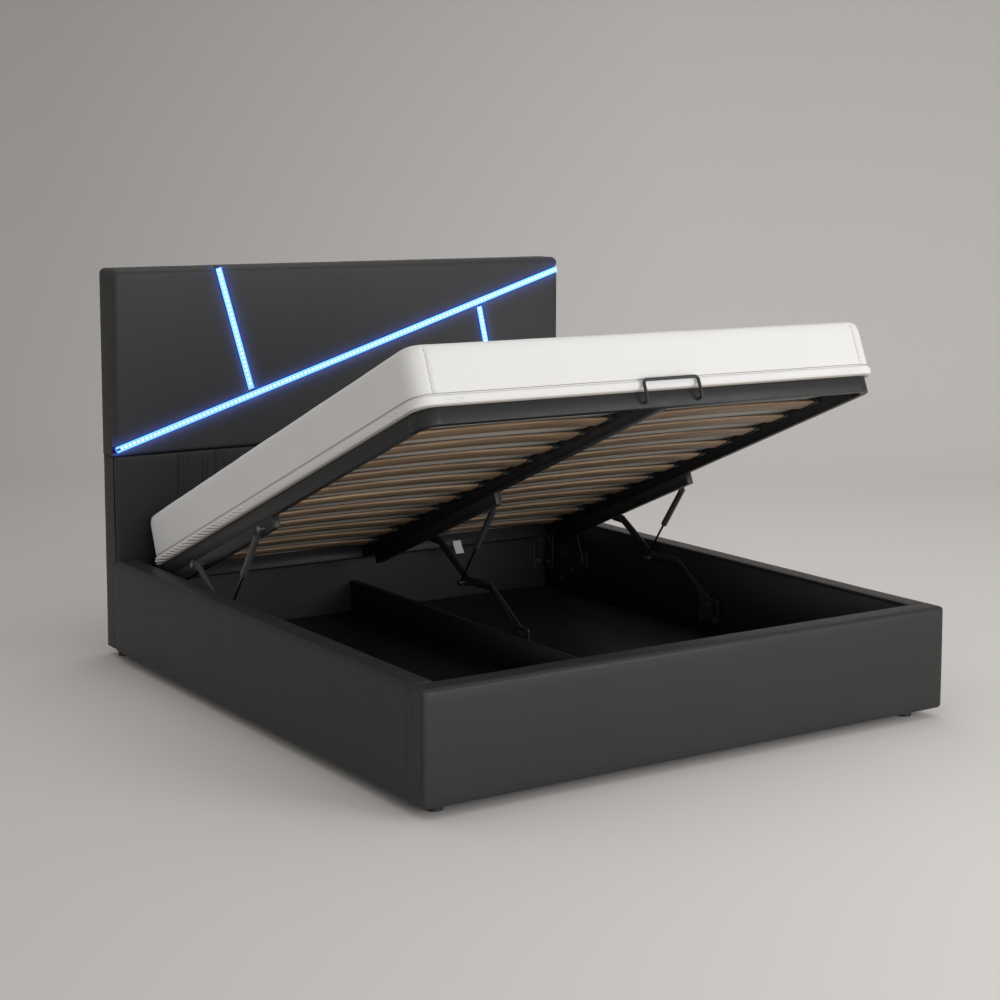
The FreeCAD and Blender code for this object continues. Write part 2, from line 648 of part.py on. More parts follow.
def base_bracket(side, sleeve, placement):
    """Plate with an arm's pin hole, and spacer sleeves behind its bolt holes."""
    body = doc.addObject("PartDesign::Body", side + "_bracket_body")
    plane = [item for item in body.Origin.OriginFeatures if item.Role == "YZ_Plane"][0]
    outline = body.newObject("Sketcher::SketchObject", side + "_bracket_outline")
    outline.AttachmentSupport = [(plane, "")]
    outline.MapMode = "FlatFace"
    half = s.bracket_length / 2
    high = s.bracket_pin_drop
    low = high - s.bracket_height
    corners = [Vector(-half, low, 0), Vector(half, low, 0), Vector(half, high, 0), Vector(-half, high, 0)]
    for i, corner in enumerate(corners):
        outline.addGeometry(Part.LineSegment(corner, corners[(i + 1) % 4]), False)
    for i in range(4):
        outline.addConstraint(Sketcher.Constraint("Coincident", i, 2, (i + 1) % 4, 1))
    for i in (0, 2):
        outline.addConstraint(Sketcher.Constraint("Horizontal", i))
        outline.addConstraint(Sketcher.Constraint("Vertical", i + 1))
    outline.addConstraint(Sketcher.Constraint("DistanceX", 0, 1, 0, 2, s.bracket_length))
    outline.setExpression("Constraints[8]", bound("bracket_length"))
    outline.addConstraint(Sketcher.Constraint("DistanceY", 1, 1, 1, 2, s.bracket_height))
    outline.setExpression("Constraints[9]", bound("bracket_height"))
    outline.addConstraint(Sketcher.Constraint("DistanceX", -1, 1, 1, 2, half))
    outline.setExpression("Constraints[10]", bound("bracket_length / 2"))
    outline.addConstraint(Sketcher.Constraint("DistanceY", -1, 1, 1, 2, high))
    outline.setExpression("Constraints[11]", bound("bracket_pin_drop"))
    outline.addGeometry(Part.Circle(Vector(0, 0, 0), Vector(0, 0, 1), hole_radius), False)
    outline.addConstraint(Sketcher.Constraint("Coincident", 4, 3, -1, 1))
    outline.addConstraint(Sketcher.Constraint("Radius", 4, hole_radius))
    outline.setExpression("Constraints[13]", bound("pin_radius + pin_clearance"))
    plate = body.newObject("PartDesign::Pad", side + "_bracket_plate")
    plate.Profile = outline
    plate.setExpression("Length", bound("plate_thickness"))
    sleeves = body.newObject("Sketcher::SketchObject", side + "_bracket_sleeves")
    sleeves.AttachmentSupport = [(plane, "")]
    sleeves.MapMode = "FlatFace"
    for across in (s.bolt_inset - half, half - s.bolt_inset):
        sleeves.addGeometry(Part.Circle(Vector(across, low + s.bolt_inset, 0), Vector(0, 0, 1),
                                        s.sleeve_radius), False)
    spacers = body.newObject("PartDesign::Pad", side + "_bracket_spacers")
    spacers.Profile = sleeves
    spacers.Reversed = True
    spacers.setExpression("Length", bound(sleeve))
    holes = body.newObject("Sketcher::SketchObject", side + "_bracket_holes")
    holes.AttachmentSupport = [(plane, "")]
    holes.MapMode = "FlatFace"
    for across in (s.bolt_inset - half, half - s.bolt_inset):
        holes.addGeometry(Part.Circle(Vector(across, low + s.bolt_inset, 0), Vector(0, 0, 1),
                                      s.bolt_radius + s.bolt_clearance), False)
    pocket = body.newObject("PartDesign::Pocket", side + "_bracket_bolt_holes")
    pocket.Profile = holes
    pocket.Reversed = True
    pocket.setExpression("Length", bound("plate_thickness"))
    doc.recompute()
    upright = []
    for number, edge in enumerate(pocket.Shape.Edges, 1):
        middle = edge.CenterOfMass
        at_corner = abs(abs(middle.y) - half) < s.pin_clearance and min(
            abs(middle.z - low), abs(middle.z - high)) < s.pin_clearance
        if at_corner:
            upright.append("Edge%d" % number)
    corner_round = body.newObject("PartDesign::Fillet", side + "_bracket_corners")
    corner_round.Base = (pocket, upright)
    corner_round.setExpression("Radius", bound("bracket_round"))
    body.Tip = corner_round
    doc.recompute()
    for across in (s.bolt_inset - half, half - s.bolt_inset):
        seat = placement.multVec(Vector(s.plate_thickness, across, low + s.bolt_inset))
        way = placement.Rotation.multVec(Vector(1, 0, 0))
        bolt_solids.append(bolt(seat, way, s.plate_thickness))
    return keep(body, side + "_base_bracket", placement)


bracket_inside = Rotation(Vector(0, 0, 1), 180)
base_bracket("left", "bracket_offset",
             Placement(Vector(s.bracket_offset - wall, arm_base.y, arm_base.z), Rotation()))
base_bracket("right", "bracket_offset",
             Placement(Vector(wall - s.bracket_offset, arm_base.y, arm_base.z), bracket_inside))
base_bracket("centre", "centre_tube_width / 2 + gear_space - bracket_offset - plate_thickness"
             " - beam_thickness / 2",
             Placement(Vector(gear_sets["centre"].wall - bracket_inner, arm_base.y, arm_base.z),
                       Rotation()))

# Rear brackets on the rails: each carries the boss that a rear link's lower end turns beside
rear_bolt_shares = ((0.78, 0.84), (0.55, 0.46), (0.91, 0.14))
rear_left = link_base.y - s.rear_pivot_inset
rear_top = link_base.z + s.rear_pivot_drop
rear_low = rear_top - s.rear_plate_height
rear_right = rear_left + s.rear_plate_length
for side in ("left", "right"):
    gear = gear_sets[side]
    corners = [(rear_left, rear_top), (rear_right, rear_top), (rear_right, rear_low),
               (rear_right - s.rear_plate_toe, rear_low), (rear_left, rear_top - s.rear_plate_step)]
    plate = slab([Vector(gear.wall, y, z) for y, z in corners], [s.bracket_round] * 5,
                 Vector(gear.inward * s.plate_thickness, 0, 0))
    boss = disc(gear, link_base, s.pin_head, s.plate_thickness, s.link_offset - s.open_pivot_gap)
    bracket = joined([plate, boss])
    for along_share, up_share in rear_bolt_shares:
        seat = Vector(gear.wall + gear.inward * s.plate_thickness,
                      rear_left + s.rear_plate_length * along_share,
                      rear_low + s.rear_plate_height * up_share)
        bracket = bracket.cut(disc(gear, seat, s.bolt_radius + s.bolt_clearance, 0, s.plate_thickness))
        bolt_solids.append(bolt(seat, Vector(gear.inward, 0, 0), s.plate_thickness))
    feature(side + "_rear_bracket", [bracket])
    link = joined([bar(gear, link_base, link_top, s.link_width, s.link_offset),
                   disc(gear, link_base, s.pin_head, link_inner, link_inner + s.pin_head_thickness)])
    feature(side + "_rear_link", [link.cut(disc(gear, link_top, hole_radius, s.link_offset, link_inner))])
feature("frame_bolts", bolt_solids)

# Gas struts: the cylinder hangs on the frame, the rod's lower eye turns beside the arm's boss
for side, gear in gear_sets.items():
    axis = Vector(gear.wall + gear.inward * s.strut_offset, 0, 0)
    top = axis + strut_top
    low = axis + strut_low
    way = (low - top).normalize()
    start = top + way * s.strut_neck
    mouth = start + way * (s.cylinder_length - s.cylinder_wall)
    tube = joined([disc(gear, strut_top, s.strut_eye, eye_outer, eye_inner),
                   Part.makeCylinder(s.neck_radius, s.strut_neck, top, way),
                   Part.makeCylinder(s.cylinder_radius, s.cylinder_length, start, way)])
    bore = Part.makeCylinder(s.cylinder_radius - s.cylinder_wall,
                             s.cylinder_length - s.cylinder_wall - s.cylinder_wall,
                             start + way * s.cylinder_wall, way)
    guide = Part.makeCylinder(s.rod_radius + s.rod_clearance, s.cylinder_wall, mouth, way)
    pin_hole = disc(gear, strut_top, hole_radius, eye_outer, eye_inner)
    feature(side + "_strut_cylinder", [tube.cut(bore).cut(guide).cut(pin_hole)])
    rod_start = start + way * (s.cylinder_length - s.rod_overlap)
    feature(side + "_strut_rod", [joined([
        Part.makeCylinder(s.rod_radius, (low - rod_start).Length, rod_start, way),
        Part.makeCylinder(s.cylinder_radius - s.cylinder_wall - s.piston_clearance,
                          s.piston_length, rod_start, way),
        disc(gear, strut_low, s.strut_eye, eye_outer, eye_inner),
        disc(gear, strut_low, s.pin_head, eye_inner, eye_inner + s.pin_head_thickness)])])


def lift_pin(gear, centre, near, far):
    """Pin of the raised frame: a head, the pin through one plate, and a sleeve to the frame."""
    head_end = near - s.open_pivot_gap
    sleeve_start = far + s.open_pivot_gap
    return joined([disc(gear, centre, s.pin_head, head_end - s.pin_head_thickness, head_end),
                   disc(gear, centre, s.pin_radius, head_end, sleeve_start),
                   disc(gear, centre, s.pin_head, sleeve_start, s.gear_space)])


lift_pins = []
for side, gear in gear_sets.items():
    lift_pins.append(lift_pin(gear, arm_top, s.arm_offset, arm_inner))
    lift_pins.append(lift_pin(gear, strut_top, eye_outer, eye_inner))
    if side != "centre":
        lift_pins.append(lift_pin(gear, link_top, s.link_offset, link_inner))
feature("lift_pins", lift_pins)


def tube(label, x, y, z, hollow_along):
    """Square tube of the raised frame, open at its ends along one direction."""
    inner = []
    for axis, (low, high) in zip("xyz", (x, y, z)):
        if axis == hollow_along:
            inner.append((low, high))
        else:
            inner.append(("(%s) + tube_wall" % low, "(%s) - tube_wall" % high))
    outside = block(label + "_outside", x, y, z)
    inside = block(label + "_inside", *inner)
    return keep(cut(label + "_tube", outside, inside), label, lift_place)


# Raised frame: a foot tube with bent corners, straight tubes behind it, rails underneath
leg_end = s.foot_tube_leg


def foot_tube_solid(shrink, radius, inner_radius):
    far = frame_half - shrink
    near = frame_half - s.tube_width + shrink
    corners = [(-far, leg_end, 0), (-far, shrink, radius), (far, shrink, radius), (far, leg_end, 0),
               (near, leg_end, 0), (near, s.tube_width - shrink, inner_radius),
               (-near, s.tube_width - shrink, inner_radius), (-near, leg_end, 0)]
    return slab([Vector(x, y, shrink) for x, y, radius in corners],
                [radius for x, y, radius in corners],
                Vector(0, 0, s.tube_height - shrink - shrink))


feature("frame_foot_tube", [
    foot_tube_solid(0, s.frame_corner, s.frame_corner - s.tube_width).cut(
        foot_tube_solid(s.tube_wall, s.frame_corner - s.tube_wall,
                        s.frame_corner - s.tube_width + s.tube_wall))], lift_place)
for side, sign in (("left", -1), ("right", 1)):
    tube("frame_%s_tube" % side, mirrored_pair(sign, frame_half_text + " - tube_width", frame_half_text),
         ("foot_tube_leg", "frame_length"), ("0", "tube_height"), "y")
    tube(side + "_lift_rail", mirrored_pair(sign, frame_half_text + " - tube_width", frame_half_text),
         ("lift_rail_start", "lift_rail_end"), ("-lift_rail_height", "0"), "y")
tube("frame_head_tube", ("tube_width - " + frame_half_text, frame_half_text + " - tube_width"),
     ("frame_length - tube_width", "frame_length"), ("0", "tube_height"), "x")
tube("frame_centre_tube", ("-centre_tube_width / 2", "centre_tube_width / 2"),
     ("tube_width", "frame_length - tube_width"), ("0", "tube_height"), "y")
tube("centre_lift_rail", ("centre_tube_width / 2 - tube_width", "centre_tube_width / 2"),
     ("lift_rail_start", "lift_rail_end"), ("-lift_rail_height", "0"), "y")
cap_solids = []
for low in (-frame_half, s.centre_tube_width / 2 - s.tube_width, frame_half - s.tube_width):
    face = between(Vector(low, s.lift_rail_start - s.cap_thickness, -s.lift_rail_height),
                   Vector(low + s.tube_width, s.lift_rail_start, 0))
    inset = s.tube_wall + s.cap_clearance
    plug = between(Vector(low + inset, s.lift_rail_start, inset - s.lift_rail_height),
                   Vector(low + s.tube_width - inset, s.lift_rail_start + s.cap_length, -inset))
    cap_solids.append(joined([face, plug]))
feature("rail_end_caps", cap_solids, lift_place)

# Slats: two columns of bowed strips, each end in a holder on the tube beside it
slat_inner = s.centre_tube_width / 2
slat_outer = frame_half - s.tube_width
end_gap = s.holder_back + s.holder_clearance
slat_half = (slat_outer - slat_inner) / 2 - end_gap
grip_share = (s.holder_length - end_gap) / slat_half
pocket_top = (s.slat_seat + s.slat_thickness + s.holder_clearance
              + s.slat_rise * (1 - (1 - grip_share) ** 2))
pocket_low = s.slat_seat - s.holder_clearance
holder_solids = []
slat_pitch = (s.frame_length - s.slat_first - s.slat_last) / (s.slat_count - 1)
for side, sign in (("left", -1), ("right", 1)):
    slats = []
    middle = sign * (slat_inner + slat_outer) / 2
    for k in range(int(s.slat_count)):
        station = s.slat_first + slat_pitch * k
        start = station - s.slat_width / 2
        levels = (s.slat_seat, s.slat_seat + s.slat_thickness)
        low, high = [[Vector(middle - slat_half, start, level),
                      Vector(middle, start, level + s.slat_rise),
                      Vector(middle + slat_half, start, level)] for level in levels]
        edges = [Part.Arc(*low).toShape(), Part.LineSegment(low[2], high[2]).toShape(),
                 Part.Arc(*high[::-1]).toShape(), Part.LineSegment(high[0], low[0]).toShape()]
        slats.append(Part.Face(Part.Wire(edges)).extrude(Vector(0, s.slat_width, 0)))
        reach = s.slat_width / 2 + s.holder_clearance
        for face, way in ((sign * slat_outer, -sign), (sign * slat_inner, sign)):
            xs = sorted((face, face + way * s.holder_length))
            shell = between(Vector(xs[0], station - reach - s.holder_wall, pocket_low - s.holder_wall),
                            Vector(xs[1], station + reach + s.holder_wall, pocket_top + s.holder_wall))
            xs = sorted((face + way * s.holder_back, face + way * s.holder_length))
            room = between(Vector(xs[0], station - reach, pocket_low),
                           Vector(xs[1], station + reach, pocket_top))
            holder_solids.append(shell.cut(room))
    feature(side + "_slats", slats, lift_place)
feature("slat_holders", holder_solids, lift_place)

# Handle at the foot: a bent rod that stands in front of the mattress
handle_low = [Vector(s.handle_shift - s.handle_width / 2, 0, s.handle_low),
              Vector(s.handle_shift - s.handle_width / 2, -s.handle_reach, s.handle_low),
              Vector(s.handle_shift - s.handle_width / 2, -s.handle_reach, s.handle_top)]
handle_points = handle_low + [Vector(s.handle_shift * 2 - p.x, p.y, p.z) for p in handle_low[::-1]]
handle_path = smooth_wire(handle_points, [0] + [s.handle_corner] * 4 + [0], False)
handle_end = Part.Wire(Part.makeCircle(s.handle_rod / 2, handle_points[0], Vector(0, 1, 0)))
feature("lift_handle", [handle_path.makePipeShell([handle_end], True, False)], lift_place)

# Mattress: each section's share of the thickness, of the rolled edge, of the drawn-in side
# and of the crown on top
mattress_section_shares = ((0, 0.6, 0, 0), (0.12, 0, 0, 0), (0.5, 0, 1, 0), (widest_share, 0, 0, 0),
                           (0.96, 0.42, 0, 0), (0.985, 1, 0, 0), (1, 1, 0, 1))
mattress_wires = []
for up_share, edge_share, side_share, crown_share in mattress_section_shares:
    inset = (s.mattress_edge * edge_share + s.mattress_drawn * side_share
             + s.mattress_crown * crown_share)
    x = frame_half + s.mattress_side_overhang - inset
    level = s.tube_height + s.mattress_thickness * up_share
    near = inset - s.mattress_overhang
    far = s.frame_length - inset
    loop = [Vector(-x, near, level), Vector(x, near, level), Vector(x, far, level), Vector(-x, far, level)]
    mattress_wires.append(smooth_wire(loop, [s.mattress_corner] * 4))
feature("mattress", [Part.makeLoft(mattress_wires, True, True)], lift_place)

# Nothing is written unless every object and every piece is sound
doc.recompute()
faulty = [item.Name for item in doc.Objects if "Invalid" in item.State or "Error" in item.State]
for label, piece in pieces.items():
    shape = piece.Shape
    if shape.isNull() or not shape.isValid() or not shape.Solids:
        faulty.append(label)
if faulty:
    raise RuntimeError("not sound: " + ", ".join(faulty))
os.makedirs("parts", exist_ok=True)
for label, piece in pieces.items():
    piece.Shape.exportStep("parts/%s.step" % label)
    print(label, len(piece.Shape.Solids), "solids", round(piece.Shape.Volume), "mm3")
print(len(pieces), "pieces")
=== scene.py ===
import json
import math
import bmesh
import bpy
import numpy as np
from mathutils import Matrix, Vector, noise

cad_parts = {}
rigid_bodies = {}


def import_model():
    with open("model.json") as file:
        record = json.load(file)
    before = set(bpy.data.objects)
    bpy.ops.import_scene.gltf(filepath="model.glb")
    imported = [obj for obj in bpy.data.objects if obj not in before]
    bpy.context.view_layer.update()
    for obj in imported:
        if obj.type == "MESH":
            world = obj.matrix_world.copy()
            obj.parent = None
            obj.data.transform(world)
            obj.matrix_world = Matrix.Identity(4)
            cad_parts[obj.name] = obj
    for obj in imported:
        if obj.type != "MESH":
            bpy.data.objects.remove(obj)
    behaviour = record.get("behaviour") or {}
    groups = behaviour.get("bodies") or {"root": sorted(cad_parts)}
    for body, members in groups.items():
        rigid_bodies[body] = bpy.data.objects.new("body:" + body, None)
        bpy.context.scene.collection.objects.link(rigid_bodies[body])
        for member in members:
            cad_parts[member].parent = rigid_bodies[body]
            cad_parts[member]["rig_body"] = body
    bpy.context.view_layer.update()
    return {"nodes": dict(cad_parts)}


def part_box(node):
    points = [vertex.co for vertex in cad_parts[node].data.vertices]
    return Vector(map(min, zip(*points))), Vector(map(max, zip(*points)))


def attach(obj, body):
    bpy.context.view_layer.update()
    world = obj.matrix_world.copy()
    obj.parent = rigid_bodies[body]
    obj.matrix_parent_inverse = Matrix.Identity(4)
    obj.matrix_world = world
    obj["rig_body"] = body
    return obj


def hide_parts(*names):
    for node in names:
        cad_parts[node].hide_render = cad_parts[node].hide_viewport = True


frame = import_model()
nodes = frame["nodes"]
print("frame loaded:", len(nodes), "nodes")

# Helpers for numbers, places and meshes


def smoothStep(low, high, value):
    share = min(max((value - low) / (high - low), 0), 1)
    return share * share * (3 - 2 * share)


def spread(start, end, step):
    count = max(1, math.ceil(abs(end - start) / step))
    return [start + (end - start) * i / count for i in range(count + 1)]


def meshPoints(node):
    return [v.co.copy() for v in nodes[node].data.vertices]


def weldedCopy(mesh):
    # a CAD mesh with the vertices joined again that the import split
    work = bmesh.new()
    work.from_mesh(mesh)
    bmesh.ops.remove_doubles(work, verts=work.verts, dist=1e-5)
    return work


def islands(mesh):
    # groups of connected vertices
    work = weldedCopy(mesh)
    seen, found = set(), []
    for first in work.verts:
        if first in seen:
            continue
        group, queue = [], [first]
        seen.add(first)
        while queue:
            vert = queue.pop()
            group.append(vert.co.copy())
            for edge in vert.link_edges:
                other = edge.other_vert(vert)
                if other not in seen:
                    seen.add(other)
                    queue.append(other)
        found.append(group)
    work.free()
    return found


def linked(name, data):
    piece = bpy.data.objects.new(name, data)
    bpy.context.scene.collection.objects.link(piece)
    return piece


def fromWork(name, work):
    mesh = bpy.data.meshes.new(name)
    work.to_mesh(mesh)
    work.free()
    return linked(name, mesh)


def turnOutward(work):
    bmesh.ops.recalc_face_normals(work, faces=work.faces)
    if work.calc_volume(signed=True) < 0:
        bmesh.ops.reverse_faces(work, faces=work.faces)


def newObject(name, verts, faces, weld=False):
    mesh = bpy.data.meshes.new(name)
    mesh.from_pydata([tuple(v) for v in verts], [], faces)
    mesh.update()
    work = bmesh.new()
    work.from_mesh(mesh)
    if weld:
        bmesh.ops.remove_doubles(work, verts=work.verts, dist=1e-6)
    turnOutward(work)
    for face in work.faces:
        face.smooth = True
    work.to_mesh(mesh)
    work.free()
    return linked(name, mesh)


def applyModifiers(piece):
    graph = bpy.context.evaluated_depsgraph_get()
    graph.update()
    mesh = bpy.data.meshes.new_from_object(piece.evaluated_get(graph))
    piece.modifiers.clear()
    old = piece.data
    piece.data = mesh
    bpy.data.meshes.remove(old)
    return piece


def joinPieces(name, pieces):
    work = bmesh.new()
    for piece in pieces:
        work.from_mesh(piece.data)
        bpy.data.objects.remove(piece)
    return fromWork(name, work)


# Profiles and sweeps for padded covers


def roundedLoop(corners, step, arcSteps=5):
    # corners: (u, v, radius), anticlockwise; gives points with outward normals
    loop = []
    count = len(corners)
    for i, (u, v, radius) in enumerate(corners):
        point = Vector((u, v))
        before = (point - Vector(corners[i - 1][:2])).normalized()
        after = (Vector(corners[(i + 1) % count][:2]) - point).normalized()
        turn = before.x * after.y - before.y * after.x
        bend = math.atan2(turn, before.dot(after))
        if radius <= 0 or abs(bend) < 1e-3:
            normal = Vector((before.y + after.y, -before.x - after.x)).normalized()
            loop.append((point, normal / max(0.3, math.cos(bend / 2))))
            continue
        back = radius * math.tan(abs(bend) / 2)
        side = 1 if bend > 0 else -1
        inward = Vector((-before.y, before.x)) * side
        centre = point - before * back + inward * radius
        for k in range(arcSteps + 1):
            angle = bend * k / arcSteps
            out = -inward
            out = Vector((out.x * math.cos(angle) - out.y * math.sin(angle),
                          out.x * math.sin(angle) + out.y * math.cos(angle)))
            loop.append((centre + out * radius, out * side))
    full = []
    for i, (point, normal) in enumerate(loop):
        nextPoint, nextNormal = loop[(i + 1) % len(loop)]
        full.append((point, normal))
        gap = (nextPoint - point).length
        if gap > step * 1.5:
            for share in spread(0, 1, step / gap)[1:-1]:
                full.append((point.lerp(nextPoint, share), normal.lerp(nextNormal, share)))
    return full


def endStations(start, end, radius, step, arcSteps=5):
    # places along a sweep, with how far the section is drawn in there
    angles = [math.pi / 2 * k / arcSteps for k in range(arcSteps)]
    first = [(start + radius * (1 - math.cos(a)), radius * (1 - math.sin(a))) for a in angles]
    last = [(end - radius * (1 - math.cos(a)), radius * (1 - math.sin(a))) for a in reversed(angles)]
    return first + [(place, 0.0) for place in spread(start + radius, end - radius, step)] + last


def sectionFaces(count, size, closed=False):
    # quads round and between sections of so many points that stand one behind the other
    faces = []
    for j in range(count if closed else count - 1):
        n = (j + 1) % count
        for i in range(size):
            k = (i + 1) % size
            faces.append((j * size + i, j * size + k, n * size + k, n * size + i))
    return faces


def capFaces(count, size):
    return [tuple(range(size)), tuple((count - 1) * size + i for i in range(size))]


def sweptPad(name, loop, stations, place, endShare=None, wrapped=None):
    # place(u, v, s) gives the point in space
    # endShare(normal) says how much of the end's rounding a side takes
    # wrapped(point, normal, s) may give a section another form near the ends
    verts = []
    for s, inset in stations:
        for point, normal in loop:
            if wrapped:
                point, normal = wrapped(point, normal, s)
            at = point - normal * (inset * (endShare(normal) if endShare else 1))
            verts.append(place(at.x, at.y, s))
    faces = sectionFaces(len(stations), len(loop)) + capFaces(len(stations), len(loop))
    return newObject(name, verts, faces, weld=wrapped is not None)


def shapeSurface(piece, give):
    # give(place, normal) says how far each point moves along its normal
    mesh = piece.data
    moved = [v.co + v.normal * give(v.co, v.normal) for v in mesh.vertices]
    for vert, co in zip(mesh.vertices, moved):
        vert.co = co
    mesh.update()
    return piece


def softUneven(place, amount, size, seed=0.0):
    return amount * noise.noise(Vector((place.x / size + seed, place.y / size, place.z / size)))


def facing(part):
    # 1 where a normal's part points that way, 0 where it has turned aside
    return smoothStep(0.3, 0.9, part)


def crownShare(value, low, high):
    # 0 at both edges of a panel, 1 in its middle
    return math.sin(math.pi * min(max((value - low) / (high - low), 0), 1))


# Node helpers


def socketKind(value):
    if isinstance(value, tuple):
        return "NodeSocketColor" if len(value) == 4 else "NodeSocketVector"
    return "NodeSocketFloat"


surfaceOutputs = {"Color": "NodeSocketColor", "Roughness": "NodeSocketFloat", "Height": "NodeSocketFloat"}


def nodeGroup(name, inputs, outputs):
    # gives the group with the sockets that its nodes read from and put out to
    group = bpy.data.node_groups.new(name, "ShaderNodeTree")
    for label, value in inputs.items():
        socket = group.interface.new_socket(name=label, in_out="INPUT", socket_type=socketKind(value))
        socket.default_value = value
    for label, kind in outputs.items():
        group.interface.new_socket(name=label, in_out="OUTPUT", socket_type=kind)
    return group, group.nodes.new("NodeGroupInput").outputs, group.nodes.new("NodeGroupOutput").inputs


def newMaterial(name):
    material = bpy.data.materials.new(name)
    material.use_nodes = True
    return material, material.node_tree, material.node_tree.nodes["Principled BSDF"]


def add(tree, kind, **settings):
    node = tree.nodes.new(kind)
    for key, value in settings.items():
        setattr(node, key, value)
    return node


def feed(tree, value, socket):
    # a number, colour or vector is set on the socket, and an output is linked to it
    if isinstance(value, (int, float, tuple, Vector)):
        socket.default_value = value
    else:
        tree.links.new(value, socket)


def mathNode(tree, operation, first, second=0.0):
    node = add(tree, "ShaderNodeMath", operation=operation)
    feed(tree, first, node.inputs[0])
    feed(tree, second, node.inputs[1])
    return node.outputs[0]


def plus(tree, first, second):
    return mathNode(tree, "ADD", first, second)


def times(tree, first, second):
    return mathNode(tree, "MULTIPLY", first, second)


def swing(tree, mask, amount):
    # a mask from 0 to 1 made to swing around nought
    return times(tree, mathNode(tree, "SUBTRACT", mask, 0.5), amount)


def vectorNode(tree, operation, first, second, output="Vector"):
    node = add(tree, "ShaderNodeVectorMath", operation=operation)
    feed(tree, first, node.inputs[0])
    feed(tree, second, node.inputs[3 if operation == "SCALE" else 1])
    return node.outputs[output]


def mixColour(tree, factor, first, second, blend="MIX"):
    node = add(tree, "ShaderNodeMix", data_type="RGBA", blend_type=blend)
    for number, value in ((0, factor), (6, first), (7, second)):
        feed(tree, value, node.inputs[number])
    return node.outputs[2]


def remap(tree, value, fromLow, fromHigh, toLow=0, toHigh=1):
    node = add(tree, "ShaderNodeMapRange")
    feed(tree, value, node.inputs[0])
    for i, number in enumerate((fromLow, fromHigh, toLow, toHigh), 1):
        node.inputs[i].default_value = number
    return node.outputs[0]


def noiseNode(tree, vector, scale, detail=2.0, roughness=0.5):
    node = add(tree, "ShaderNodeTexNoise")
    for label, value in (("Vector", vector), ("Scale", scale), ("Detail", detail), ("Roughness", roughness)):
        feed(tree, value, node.inputs[label])
    return node.outputs["Fac"]


def splitAxes(tree, vector):
    node = add(tree, "ShaderNodeSeparateXYZ")
    feed(tree, vector, node.inputs[0])
    return node.outputs


def objectPlace(tree):
    return add(tree, "ShaderNodeTexCoord").outputs["Object"]


def pointiness(tree):
    # above a half on edges, below it in hollows
    return add(tree, "ShaderNodeNewGeometry").outputs["Pointiness"]


def toned(tree, colour, tone):
    # a colour made lighter or darker by a tone around nought
    node = add(tree, "ShaderNodeHueSaturation")
    feed(tree, colour, node.inputs["Color"])
    feed(tree, plus(tree, tone, 1.0), node.inputs["Value"])
    return node.outputs["Color"]


def paintedHollowShade(tree, colour, shade, deep, flat):
    # painted shade: darkens a colour where the surface is hollow, as at the bottom of a fold
    share = remap(tree, pointiness(tree), deep, flat)
    return mixColour(tree, share, mixColour(tree, 1.0, colour, shade, "MULTIPLY"), colour)


# Effects that several materials use


def leatherGroup():
    # pebbled grain with fine creases and a cloudy tone, with painted shade in its folds
    group, given, out = nodeGroup("leatherGrain", {
        "Base": (0.05, 0.05, 0.05, 1), "Grain Scale": 900.0, "Tone": 0.12, "Gloss": 0.42,
        "Fold Shade": (0.3, 0.3, 0.3, 1)}, surfaceOutputs)
    place = objectPlace(group)
    cells = add(group, "ShaderNodeTexVoronoi", feature="DISTANCE_TO_EDGE")
    feed(group, place, cells.inputs["Vector"])
    feed(group, given["Grain Scale"], cells.inputs["Scale"])
    pebble = remap(group, cells.outputs["Distance"], 0, 0.35)
    clouds = noiseNode(group, place, 3.5, 3)
    creases = noiseNode(group, place, 60, 4, 0.6)
    feed(group, plus(group, times(group, pebble, 0.6), times(group, creases, 0.5)), out["Height"])
    tone = plus(group, swing(group, clouds, given["Tone"]), swing(group, pebble, 0.05))
    colour = toned(group, given["Base"], tone)
    feed(group, paintedHollowShade(group, colour, given["Fold Shade"], 0.4, 0.48), out["Color"])
    feed(group, plus(group, given["Gloss"], swing(group, creases, 0.25)), out["Roughness"])
    return group


def paintGroup():
    # satin coat with orange peel, rubbed a little paler where a surface is convex
    group, given, out = nodeGroup("satinPaint", {
        "Base": (0.04, 0.04, 0.04, 1), "Worn": (0.12, 0.12, 0.12, 1), "Peel Scale": 700.0, "Wear": 0.5,
        "Gloss": 0.4}, surfaceOutputs)
    place = objectPlace(group)
    smear = noiseNode(group, place, 14, 4, 0.65)
    edge = remap(group, pointiness(group), 0.52, 0.6)
    worn = times(group, times(group, edge, smear), given["Wear"])
    feed(group, mixColour(group, worn, given["Base"], given["Worn"]), out["Color"])
    feed(group, plus(group, given["Gloss"], swing(group, smear, 0.3)), out["Roughness"])
    feed(group, noiseNode(group, place, given["Peel Scale"], 1), out["Height"])
    return group


